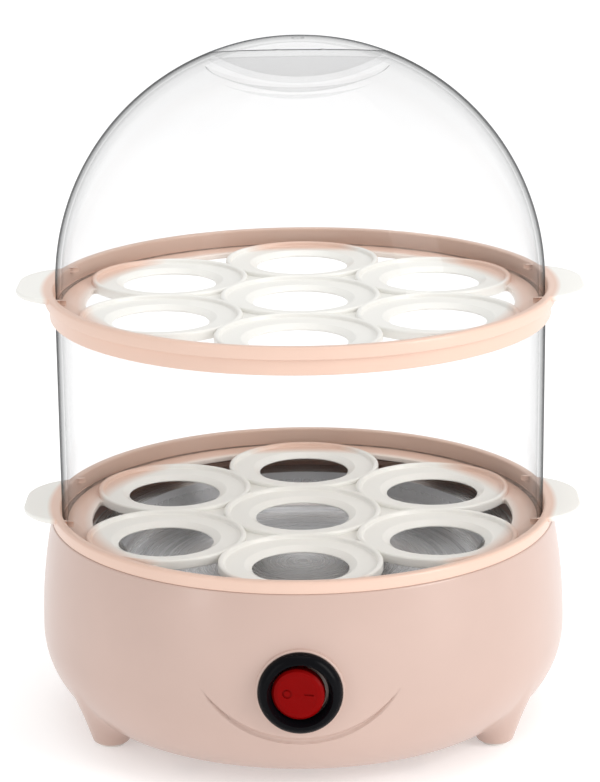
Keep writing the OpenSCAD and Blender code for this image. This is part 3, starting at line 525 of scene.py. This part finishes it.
def smile_depth(x, z):
    """Depth of the smile-shaped groove, which fades out at both ends."""
    if abs(x) > SMILE_HALF_W or z > SMILE_END_Z:
        return 0
    drop = SMILE_END_Z - SMILE_LOW_Z
    outer, inner = arc_radius(drop), arc_radius(drop - SMILE_W)
    inside_outer = outer - math.hypot(x, z - SMILE_LOW_Z - outer)
    outside_inner = math.hypot(x, z - SMILE_LOW_Z - SMILE_W - inner) - inner
    if inside_outer <= 0 or outside_inner <= 0:
        return 0
    width = inside_outer + outside_inner
    across = 4 * inside_outer * outside_inner / width ** 2
    return SMILE_DEPTH * min(1, width / 1.3) * across ** 0.7


def on_body(s, bearing):
    """Point of the body's outer surface. A bearing is in degrees from the front."""
    r, z = profile_point(s)
    turn = math.radians(bearing)
    x, y = r * math.sin(turn), -r * math.cos(turn)
    if y < 0:
        r -= smile_depth(x, z)
    return r * math.sin(turn), -r * math.cos(turn), z


def foot_height(d):
    """Height of a leg's surface at a distance from its axis: rounded at its end, then a flaring cone."""
    flat = FOOT_R - FOOT_EDGE
    if d <= flat:
        return FOOT_LIFT
    if d < FOOT_R:
        t = (d - flat) / FOOT_EDGE
        return FOOT_LIFT + 1.6 * (1 - math.sqrt(1 - t * t * 0.98))
    return FOOT_LIFT + 1.37 + (d - FOOT_R) * FOOT_SLOPE + 0.25 * max(0, d - 10) ** 2


def steps_between(*stretches):
    """Values from stretches (start, end, count), each without its end."""
    values = []
    for start, end, count in stretches:
        values += [start + (end - start) * k / count for k in range(count)]
    return values


def body_shell():
    """The moulded body: one closed mesh with its legs, the smile groove and pockets for what is set in."""
    s_cover = s_of_radius(COVER_HOLE_R)
    s_patch_low, s_well_high = s_of_radius(COVER_HOLE_R + 0.8), s_of_radius(72.3)
    s_groove_low, s_leg_high = s_of_height(18.8), s_of_height(23.87)
    s_switch_low, s_switch_high = s_of_height(26.5), s_of_height(49.5)
    s_groove_high, s_rim = s_of_height(39.5), s_of_height(RIM_Z - 0.7)
    levels = steps_between(
        (s_cover, s_patch_low, 1), (s_patch_low, s_well_high, 9), (s_well_high, s_groove_low, 18),
        (s_groove_low, s_leg_high, 13), (s_leg_high, s_switch_low, 8), (s_switch_low, BELLY_S, 15),
        (BELLY_S, s_groove_high, 22), (s_groove_high, s_switch_high, 7), (s_switch_high, s_rim, 12),
    ) + [s_rim]
    bearings = steps_between(
        (-23, 23, 190), (23, 28, 3), (28, 36, 10), (36, 47.5, 6), (47.5, 72.5, 40), (72.5, 116, 18),
        (116, 124, 10), (124, 167.5, 18), (167.5, 192.5, 40), (192.5, 236, 18), (236, 244, 10),
        (244, 287.5, 18), (287.5, 312.5, 40), (312.5, 324, 6), (324, 332, 10), (332, 337, 3),
    )

    vertices, faces, rows = [], [], []
    for s in levels:
        rows.append([])
        for bearing in bearings:
            rows[-1].append(len(vertices))
            vertices.append(on_body(s, bearing))

    # rim, bore and inner wall, back to the edge of the cover's opening
    rim_r = profile_point(s_rim)[0]
    inner_low = LOW_CURVE_R - WALL
    inner_high = HIGH_CURVE_R - WALL
    rim_centre = Vector((rim_r - 0.65, RIM_Z - 0.65))
    inside = along_arc(rim_centre, (rim_r, RIM_Z - 0.6), (rim_r - 0.6, RIM_Z), 4)[1:]
    inside += [(BORE_R + 0.3, RIM_Z), (BORE_R, RIM_Z - 0.3), (BORE_R, 61.5)]
    inside += [(HIGH_X + math.sqrt(inner_high ** 2 - (z - BELLY_Z) ** 2), z) for z in (57, 50, 44, 38)]
    for turn in (math.radians(a) for a in (90, 78, 66, 54, 45)):
        inside.append((LOW_X + inner_low * math.sin(turn), BELLY_Z - inner_low * math.cos(turn)))
    inside.append((LOW_X + math.sqrt(inner_low ** 2 - (BELLY_Z - LEDGE_HIGH) ** 2), LEDGE_HIGH))
    inside.append((LEDGE_R, LEDGE_HIGH))
    inside += [(LEDGE_R, LEDGE_LOW), (COVER_HOLE_R, LEDGE_LOW)]
    for r, z in inside:
        rows.append([])
        for bearing in bearings:
            rows[-1].append(len(vertices))
            turn = math.radians(bearing)
            vertices.append((r * math.sin(turn), -r * math.cos(turn), z))

    cut = set()

    def nearest(values, value):
        return min(range(len(values)), key=lambda i: abs(values[i] - value))

    def patch(s_range, bearing_range, centre, surface_circle, surface, rings, steps=12):
        """Cuts a rectangle out of the surface and fills it with rings that turn from it into a round form."""
        low, high = (nearest(levels, s) for s in s_range)
        left, right = (nearest(bearings, b) for b in bearing_range)
        edge = [(low, c) for c in range(left, right)] + [(r, right) for r in range(low, high)]
        edge += [(high, c) for c in range(right, left, -1)] + [(r, left) for r in range(high, low, -1)]
        cut.update((r, c) for r in range(low, high) for c in range(left, right))
        starts = [(levels[r], bearings[c]) for r, c in edge]
        mm_per_degree = math.radians(profile_point(centre[0])[0])
        turns = [math.atan2((b - centre[1]) * mm_per_degree, s - centre[0]) for s, b in starts]
        ends = [surface_circle(turn) for turn in turns]
        row = [rows[r][c] for r, c in edge]
        for k in range(1, steps + 1):
            share = k / steps
            ring = []
            for (s0, b0), (s1, b1) in zip(starts, ends):
                ring.append(len(vertices))
                vertices.append(surface(s0 + (s1 - s0) * share, b0 + (b1 - b0) * share, share))
            faces.extend(strip(row, ring))
            row = ring
        for place in rings:
            ring = list(range(len(vertices), len(vertices) + len(turns)))
            vertices.extend(place(turn) for turn in turns)
            faces.extend(strip(row, ring))
            row = ring
        faces.append(row)

    def upright_patch(bearing, pitch, radius, half_angle, s_high, surface, ring_list):
        """A patch round an upright axis at a bearing and a pitch radius."""
        def circle_at(turn):
            out, aside = pitch + radius * math.cos(turn), radius * math.sin(turn)
            return s_of_radius(math.hypot(out, aside)), bearing + math.degrees(math.atan2(aside, out))

        def ring_at(d, z):
            def place(turn):
                out, aside = pitch + d * math.cos(turn), d * math.sin(turn)
                b = math.radians(bearing) + math.atan2(aside, out)
                r = math.hypot(out, aside)
                height = z
                if z is None:
                    height = soft_min(profile_point(s_of_radius(r))[1], foot_height(d), FOOT_BLEND)
                return r * math.sin(b), -r * math.cos(b), height
            return place

        patch((s_patch_low, s_high), (bearing - half_angle, bearing + half_angle),
              (s_of_radius(pitch), bearing), circle_at, surface, [ring_at(d, z) for d, z in ring_list])

    def leg(bearing):
        def surface(s, b, share):
            x, y, z = on_body(s, b)
            turn = math.radians(bearing)
            d = math.hypot(x - FOOT_PITCH * math.sin(turn), y + FOOT_PITCH * math.cos(turn))
            weight = min(1, share * 4)
            blended = soft_min(z, foot_height(d), FOOT_BLEND)
            return x, y, z + (blended - z) * weight * weight * (3 - 2 * weight)

        foot_rings = [(d, None) for d in (7.2, 6.8, 6.5, 6.2, 6.0, 5.7, 5.3, 4.9, PAD_R + 0.15)]
        foot_rings += [(PAD_R + 0.15, 1.9)]
        upright_patch(bearing, FOOT_PITCH, 7.6, 12.5, s_leg_high, surface, foot_rings)

    def screw_well(bearing):
        def surface(s, b, share):
            return on_body(s, b)

        rings = [(WELL_R + 0.15, UNDER_Z + 0.05), (WELL_R, UNDER_Z + 0.3), (WELL_R, WELL_TOP - 0.1)]
        upright_patch(bearing, WELL_PITCH, WELL_R + 0.4, 4, s_well_high, surface, rings)

    def round_pocket(side, height, radius, s_range, half_angle, depth_y):
        """A round hole in the front (side -1) or the back (side 1), closed deep inside."""
        centre_bearing = 0 if side < 0 else 180

        def circle_at(turn):
            z, x = height + radius * math.cos(turn), radius * math.sin(turn)
            s = s_of_height(z)
            return s, centre_bearing + math.degrees(math.asin(x / profile_point(s)[0]))

        def ring_at(r, y):
            return lambda turn: (-side * r * math.sin(turn), side * y, height + r * math.cos(turn))

        patch(s_range, (centre_bearing - half_angle, centre_bearing + half_angle),
              (s_of_height(height), centre_bearing), circle_at, lambda s, b, share: on_body(s, b),
              [ring_at(radius - 0.1, BELLY_R - 1.2), ring_at(radius, depth_y)])

    for bearing in LEG_BEARINGS:
        leg(bearing)
    for bearing in SCREW_BEARINGS:
        screw_well(bearing)
    round_pocket(-1, SWITCH_Z, SWITCH_HOLE_R, (s_switch_low, s_switch_high), 7.7, SWITCH_SEAT_Y - 16.2)
    round_pocket(1, GLAND_Z, GLAND_HOLE_R, (s_leg_high, s_groove_high), 5.625, 75)

    for r in range(len(rows)):
        above = (r + 1) % len(rows)
        for c in range(len(bearings)):
            if (r, c) not in cut:
                d = (c + 1) % len(bearings)
                faces.append([rows[r][c], rows[r][d], rows[above][d], rows[above][c]])
    return vertices, faces


def seat_ring(hole_r, outer_r, side, seat_y, height):
    """Round pad that makes a flat seat on the round wall, at the front (side -1) or the back (side 1)."""
    profile = rounded([(hole_r, -3, 0), (outer_r, -3, 0), (outer_r, 0, 0.5), (hole_r, 0, 0.2)])
    turn = Matrix.Rotation(math.radians(-90 * side), 4, "X")
    return placed(lathe(profile, 96), Matrix.Translation((0, side * seat_y, height)) @ turn)


def screw_column(bearing):
    x, y = WELL_PITCH * math.sin(math.radians(bearing)), -WELL_PITCH * math.cos(math.radians(bearing))
    profile = rounded([(WELL_R + 0.1, 9, 0), (COLUMN_R, 9, 0), (COLUMN_R, COLUMN_TOP, 0.4),
                       (PILOT_R, COLUMN_TOP, 0), (PILOT_R, WELL_TOP, 0), (WELL_R + 0.1, WELL_TOP, 0)])
    return placed(lathe(profile, 32), Matrix.Translation((x, y, 0)))


piece("body_shell",
      merged(body_shell(),
             seat_ring(SWITCH_HOLE_R, SWITCH_PAD_R, -1, SWITCH_SEAT_Y, SWITCH_Z),
             seat_ring(GLAND_HOLE_R, GLAND_PAD_R, 1, GLAND_SEAT_Y, GLAND_Z),
             *[screw_column(b) for b in SCREW_BEARINGS]),
      "base", looks["body_plastic"], ["base_housing"])


# ---------- the trays ----------

RIM_R, WELL_WALL_R, SKIRT_R = 83.25, 80.4, 81.8
BAND_H, FLOOR_DROP, FLOOR_T, SKIRT_DROP = 4.0, 5.3, 1.8, 9.1
SEAT_PITCH, BEAD_R, SEAT_HOLE_R, SEAT_RIM_R, STEAM_R = 51.0, 26.2, 14.5, 17.5, 70.0
EAR_TIP, EAR_ROUND, EAR_SPREAD, EAR_T = 92.4, 18.0, 5.0, 1.8


def steam_opening(bearing):
    """Curved triangle between two seats, clockwise, with softened corners."""
    def seat_arc(side, r):
        """Bearing offset from the middle of the opening at which a seat's edge has this radius."""
        cosine = (r * r + SEAT_PITCH ** 2 - BEAD_R ** 2) / (2 * r * SEAT_PITCH)
        return side * (30 - math.degrees(math.acos(min(1, cosine))))

    middle = SEAT_PITCH * math.cos(math.radians(30))
    tip = middle + math.sqrt(BEAD_R ** 2 - (SEAT_PITCH / 2) ** 2)
    tip_soft, corner_soft = 2.2, 2.6
    radii = [tip + tip_soft + (STEAM_R - corner_soft - tip - tip_soft) * k / 14 for k in range(15)]
    left = [(r, seat_arc(-1, r)) for r in radii]
    edge = seat_arc(1, STEAM_R) - math.degrees(corner_soft / STEAM_R)
    outer = [(STEAM_R, -edge + 2 * edge * k / 16) for k in range(17)]
    right = [(r, -a) for r, a in reversed(left)]

    def flat(r, offset):
        turn = math.radians(bearing + offset)
        return Vector((r * math.sin(turn), -r * math.cos(turn)))

    def bend(start, corner, end):
        return [(1 - t) ** 2 * start + 2 * t * (1 - t) * corner + t * t * end for t in (0.2, 0.4, 0.6, 0.8)]

    a, b, c = ([flat(*p) for p in stretch] for stretch in (left, outer, right))
    points = a + bend(a[-1], flat(STEAM_R, seat_arc(-1, STEAM_R)), b[0]) + b
    points += bend(b[-1], flat(STEAM_R, seat_arc(1, STEAM_R)), c[0]) + c
    points += bend(c[-1], flat(tip, 0), a[0])
    return [tuple(p) for p in reversed(points)]


def ear(side):
    """Lift handle: a flat tab with two round corners, buried in the rim at its root."""
    root_r = SKIRT_R - 0.6
    centre_x = EAR_TIP - EAR_ROUND
    outline = []
    for k in range(25):
        turn = math.radians(-90 + 90 * k / 24)
        outline.append((centre_x + EAR_ROUND * math.cos(turn), -EAR_SPREAD + EAR_ROUND * math.sin(turn)))
    outline += [(x, -y) for x, y in reversed(outline)]
    reach = math.asin((EAR_SPREAD + EAR_ROUND) / root_r)
    for t in (1, 0.6, 0.2, -0.2, -0.6, -1):
        outline.append((root_r * math.cos(reach * t), root_r * math.sin(reach * t)))
    if side < 0:
        outline = [(-x, -y) for x, y in outline]
    return outline


def tray_form(rim_z):
    """One egg tray with its rim top at a height."""
    floor_z = rim_z - FLOOR_DROP
    under_z = floor_z - FLOOR_T
    rim = lathe(rounded([
        (WELL_WALL_R, under_z + 0.6, 0), (WELL_WALL_R, rim_z, 0.7), (RIM_R, rim_z, 0.9),
        (RIM_R, rim_z - BAND_H, 0.4), (SKIRT_R, rim_z - BAND_H, 0.3), (SKIRT_R, rim_z - SKIRT_DROP, 0.4),
        (WELL_WALL_R + 0.1, rim_z - SKIRT_DROP, 0.3), (WELL_WALL_R + 0.1, under_z + 0.6, 0),
    ]), 240)
    places = [(0, 0)]
    for k in range(6):
        turn = math.radians(60 * k)
        places.append((SEAT_PITCH * math.sin(turn), -SEAT_PITCH * math.cos(turn)))
    openings = [steam_opening(60 * k + 30) for k in range(6)]
    seat_holes = [circle(20, 72, x, y, hole=True) for x, y in places]
    floor = plate([circle(SKIRT_R - 0.6, 240)] + openings + seat_holes, under_z, floor_z, 0.4)
    lift = 0.08
    seat = lathe(rounded([
        (BEAD_R + 0.02, floor_z - 0.6, 0), (BEAD_R, floor_z + 1.5, 0.78), (BEAD_R - 1.7, floor_z + 1.5, 0.78),
        (BEAD_R - 2.0, floor_z + lift, 0.6), (SEAT_RIM_R + 0.4, floor_z + lift, 0.9),
        (SEAT_HOLE_R, under_z - lift, 0.35), (21.5, under_z - lift, 0.1), (21.5, floor_z - 0.6, 0),
    ]), 120)
    seats = [placed(seat, Matrix.Translation((x, y, 0))) for x, y in places]
    ears = [plate([ear(side)], rim_z - EAR_T, rim_z - 0.02, 0.7, 5) for side in (-1, 1)]
    return merged(rim, floor, *seats, *ears)


for tray_name in ("lower_tray", "upper_tray"):
    piece(tray_name + "_moulding", tray_form(top_of(tray_name)), tray_name,
          looks["tray_plastic"], [tray_name])


# ---------- the clear ring and the lid ----------

CLEAR_WALL = 2.0
RING_R, LID_R = 80.0, 79.7
RING_LOW, RING_HIGH = bottom_of("clear_ring"), top_of("clear_ring")

piece("clear_ring_wall",
      lathe(rounded([(RING_R, RING_LOW, 0.5), (RING_R, RING_HIGH, 0.7),
                     (RING_R - CLEAR_WALL, RING_HIGH, 0.7), (RING_R - CLEAR_WALL, RING_LOW, 0.5)]), 256),
      "clear_ring", looks["clear_plastic"], ["clear_ring"])

LID_LOW, LID_TOP = bottom_of("lid"), top_of("lid")
SCOOP_WALL_R, SCOOP_WALL_Y = 74.5, -82.5
BALL_R, BALL_Y, BALL_Z = 60.25, -14.5, DOME_Z + 125.6
VENT_R = 1.5


def lid_section(x, grow):
    """Corners of the front half of the lid's section at x, outside (grow 0) or inside (grow the wall)."""
    dome = math.sqrt(max(0, (LID_R - grow) ** 2 - x * x))
    ball = math.sqrt((BALL_R + grow) ** 2 - x * x)
    wall_y = SCOOP_WALL_Y + math.sqrt((SCOOP_WALL_R + grow) ** 2 - x * x)
    if dome <= abs(wall_y):
        return None
    edge_z = DOME_Z + math.sqrt(dome ** 2 - wall_y ** 2)
    foot_z = BALL_Z - math.sqrt(ball ** 2 - (wall_y - BALL_Y) ** 2)
    if edge_z <= foot_z:
        return None
    apart = math.hypot(BALL_Y, BALL_Z - DOME_Z)
    along = (dome ** 2 - ball ** 2 + apart ** 2) / (2 * apart)
    aside = math.sqrt(dome ** 2 - along ** 2)
    y = along * BALL_Y / apart - aside * (BALL_Z - DOME_Z) / apart
    z = DOME_Z + along * (BALL_Z - DOME_Z) / apart + aside * BALL_Y / apart
    return {"edge": Vector((wall_y, edge_z)), "foot": Vector((wall_y, foot_z)), "lip": Vector((y, z))}


def tip_of(grow):
    """Half the length of the finger scoop."""
    low, high = 5.0, 45.0
    for _ in range(40):
        middle = (low + high) / 2
        low, high = (middle, high) if lid_section(middle, grow) else (low, middle)
    return low


def arc_points(centre, start, end, count):
    """count + 1 points round a centre, closer together at both ends."""
    a, b = start - centre, end - centre
    shares = [(1 - math.cos(math.pi * k / count)) / 2 for k in range(count + 1)]
    if (start - end).length < 1e-4:
        return [start.lerp(end, t) for t in shares]
    turn = a.angle(b)
    return [centre + (a * math.sin((1 - t) * turn) + b * math.sin(t * turn)) / math.sin(turn) for t in shares]


FLOOR_STEPS, WALL_STEPS, RIDGE_STEPS, DOME_STEPS = 22, 8, 10, 44
DOME_CENTRE, BALL_CENTRE = Vector((0, DOME_Z)), Vector((BALL_Y, BALL_Z))


def fillet(first, second, reach, steps=4):
    """Joins two polylines that meet in a corner, rounded off unless reach is 0."""
    if reach == 0:
        return first + second[1:]
    corner = first[-1]
    reach = min(reach, (first[0] - corner).length * 0.45, (second[-1] - corner).length * 0.45)

    def clipped(line):
        kept = [p for p in line if (p - corner).length > reach]
        towards = line[1] - line[0] if line[0] == corner else line[-2] - line[-1]
        return kept, corner + towards.normalized() * reach

    before, start = clipped(first)
    after, end = clipped(second)
    shares = [k / steps for k in range(steps + 1)]
    bend = [(1 - t) ** 2 * start + 2 * t * (1 - t) * corner + t * t * end for t in shares]
    return before + bend + after


def resampled(line, count):
    """count + 1 points at even distances along a polyline, with the line's own ends."""
    lengths = [0.0]
    for a, b in zip(line, line[1:]):
        lengths.append(lengths[-1] + (b - a).length)
    result, i = [], 0
    for k in range(count + 1):
        target = lengths[-1] * k / count
        while i < len(line) - 2 and lengths[i + 1] < target:
            i += 1
        span = lengths[i + 1] - lengths[i]
        result.append(line[i].lerp(line[i + 1], (target - lengths[i]) / span if span > 1e-9 else 0))
    return result


def lid_columns(grow):
    """The front half of a dome skin as sections of constant x, from its equator to the middle plane. All have
    the same number of points. In a scoop a section runs along its floor and up its wall to the ridge."""
    tip = tip_of(grow)
    radius = LID_R - grow
    tip_turn = math.asin(tip / radius)
    xs = [tip * math.sin(math.pi / 2 * k / 30) for k in range(31)]
    xs += [radius * math.sin(tip_turn + (math.pi / 2 - tip_turn) * k / 34) for k in range(1, 35)]
    columns, tip_angle = [], 0
    for x in xs:
        station = lid_section(x, grow) if x < tip else None
        dome = math.sqrt(max(0, radius ** 2 - x * x))
        front, top = Vector((-dome, DOME_Z)), Vector((0, DOME_Z + dome))
        if not station:
            split = Vector((-dome * math.sin(tip_angle), DOME_Z + dome * math.cos(tip_angle)))
            line = resampled(arc_points(DOME_CENTRE, front, split, 60), DOME_STEPS)
            line += [split] * (FLOOR_STEPS + WALL_STEPS)
            line += resampled(arc_points(DOME_CENTRE, split, top, 20), RIDGE_STEPS)[1:]
            columns.append((x, line))
            continue
        lip, foot, edge = station["lip"], station["foot"], station["edge"]
        tip_angle = math.atan2(-edge.x, edge.y - DOME_Z)
        soft = min(0.8, (edge - foot).length * 0.4)
        side, floor = arc_points(DOME_CENTRE, front, lip, 60), arc_points(BALL_CENTRE, lip, foot, 40)
        whole = fillet(side, floor, soft)
        whole = fillet(whole, [foot.lerp(edge, k / 12) for k in range(13)], 0)
        whole = fillet(whole, arc_points(DOME_CENTRE, edge, top, 20), 0)
        i, j, k = (min(range(len(whole)), key=lambda n: (whole[n] - p).length)
                   for p in (lip, foot, edge))
        line = resampled(whole[:i + 1], DOME_STEPS) + resampled(whole[i:j + 1], FLOOR_STEPS)[1:]
        line += resampled(whole[j:k + 1], WALL_STEPS)[1:] + resampled(whole[k:], RIDGE_STEPS)[1:]
        columns.append((x, line))
    return columns


def lid_form():
    """The lid: outer and inner skin, joined round the bottom of its straight part."""
    vertices, faces = [], []

    def skin(grow):
        """Columns of vertex numbers from front equator to back equator, over x from -R to R."""
        half = lid_columns(grow)
        columns = [(-x, line) for x, line in reversed(half[1:])] + half
        grid = []
        for x, line in columns:
            full = [(x, p.x, p.y) for p in line] + [(x, -p.x, p.y) for p in reversed(line[:-1])]
            grid.append(list(range(len(vertices), len(vertices) + len(full))))
            vertices.extend(full)
        for a, b in zip(grid, grid[1:]):
            faces.extend(strip(a, b, closed=False))
        return grid

    def equator(grid):
        """The skin's open edge as one loop."""
        return [column[0] for column in grid] + [column[-1] for column in reversed(grid)][1:-1]

    outer, inner = equator(skin(0)), equator(skin(CLEAR_WALL))

    def lowered(loop, z, r):
        ring = []
        for i in loop:
            x, y, _ = vertices[i]
            scale = r / math.hypot(x, y)
            ring.append(len(vertices))
            vertices.append((x * scale, y * scale, z))
        return ring

    inner_r = LID_R - CLEAR_WALL
    path = [
        (DOME_Z - 2, LID_R), (LID_LOW + 0.5, LID_R), (LID_LOW + 0.15, LID_R - 0.15), (LID_LOW, LID_R - 0.5),
        (LID_LOW, inner_r + 0.5), (LID_LOW + 0.15, inner_r + 0.15), (LID_LOW + 0.5, inner_r),
        (DOME_Z - 2, inner_r),
    ]
    row = outer
    for z, r in path:
        ring = lowered(outer, z, r)
        faces.extend(strip(row, ring))
        row = ring
    faces.extend(strip(row, inner))
    return vertices, faces


piece("lid_dome", lid_form(), "lid", looks["clear_plastic"], ["lid"], sharp=60)

# vent eyelet at the top of the finger ridge
EYELET_R, EYELET_H = VENT_R + 0.5, 0.5
eyelet = lathe(rounded([(VENT_R, -EYELET_H, 0.1), (EYELET_R, -EYELET_H, 0.1), (EYELET_R, 0.0, 0.2),
                        (VENT_R, 0.0, 0.2)]), 48)
piece("vent_eyelet", placed(eyelet, Matrix.Translation((0, 0, LID_TOP - 0.02))),
      "lid", looks["clear_plastic"])


# ---------- studio: floor, world, lights, camera ----------

# The floor is a lit table, which keeps the shadows soft
FLOOR_GLOW = 0.34


def floor_material():
    tree = Tree("studio_floor")
    tree.colour(tree.noise(3, 2), (0.80, 0.80, 0.805), (0.82, 0.82, 0.82))
    tree.roughness(tree.noise(20, 3), 0.5, 0.6)
    tree.set(Emission_Color=(1, 1, 1, 1), Emission_Strength=FLOOR_GLOW)
    return tree.material


floor_mesh = bpy.data.meshes.new("studio_floor")
FLOOR_HALF = 6.0
floor_corners = [(FLOOR_HALF * x, FLOOR_HALF * y, 0) for x, y in ((-1, -1), (1, -1), (1, 1), (-1, 1))]
floor_mesh.from_pydata(floor_corners, [], [[0, 1, 2, 3]])
floor_mesh.materials.append(floor_material())
floor = bpy.data.objects.new("studio_floor", floor_mesh)
bpy.context.scene.collection.objects.link(floor)

world = bpy.data.worlds.new("studio")
bpy.context.scene.world = world
world.use_nodes = True
sky = world.node_tree
ambient = sky.nodes["Background"]
ambient.inputs["Color"].default_value = (1, 1, 1, 1)
ambient.inputs["Strength"].default_value = 0.8
seen = sky.nodes.new("ShaderNodeBackground")
seen.inputs["Color"].default_value = (1, 1, 1, 1)
seen.inputs["Strength"].default_value = 1.0
path = sky.nodes.new("ShaderNodeLightPath")
choice = sky.nodes.new("ShaderNodeMixShader")
sky.links.new(path.outputs["Is Camera Ray"], choice.inputs[0])
sky.links.new(ambient.outputs[0], choice.inputs[1])
sky.links.new(seen.outputs[0], choice.inputs[2])
sky.links.new(choice.outputs[0], sky.nodes["World Output"].inputs["Surface"])


def softbox(name, place, size, energy, colour=(1, 1, 1)):
    """Rectangular light that faces the middle of the cooker."""
    light = bpy.data.lights.new(name, "AREA")
    light.shape = "RECTANGLE"
    light.size, light.size_y = size
    light.energy = energy
    light.color = colour
    obj = bpy.data.objects.new(name, light)
    obj.location = place
    towards = Vector((0, 0, 0.1)) - Vector(place)
    obj.rotation_euler = towards.to_track_quat("-Z", "Y").to_euler()
    bpy.context.scene.collection.objects.link(obj)


softbox("key_right", (1.25, -0.75, 0.75), (0.6, 1.2), 12.5, (1.0, 0.985, 0.97))
softbox("fill_left", (-0.95, -1.0, 0.5), (0.25, 1.0), 2.0)
softbox("top", (0.1, 0.15, 1.6), (1.2, 1.2), 6)

CAMERA_AT = Vector((0.0123, -0.8811, 0.3601))
CAMERA_TO = Vector((-0.0004, 0, 0.10935))
CAMERA_ROLL = -0.010
camera_data = bpy.data.cameras.new("camera")
camera_data.sensor_fit = "VERTICAL"
camera_data.sensor_height = 36
camera_data.lens = 127.75
camera = bpy.data.objects.new("camera", camera_data)
bpy.context.scene.collection.objects.link(camera)
ahead = (CAMERA_TO - CAMERA_AT).normalized()
level = ahead.cross(Vector((0, 0, 1))).normalized()
upright = level.cross(ahead)
right = (level + upright * CAMERA_ROLL).normalized()
up = right.cross(ahead)
camera.matrix_world = Matrix.Translation(CAMERA_AT) @ Matrix((right, up, -ahead)).transposed().to_4x4()
bpy.context.scene.camera = camera
bpy.context.scene.view_settings.view_transform = "Standard"
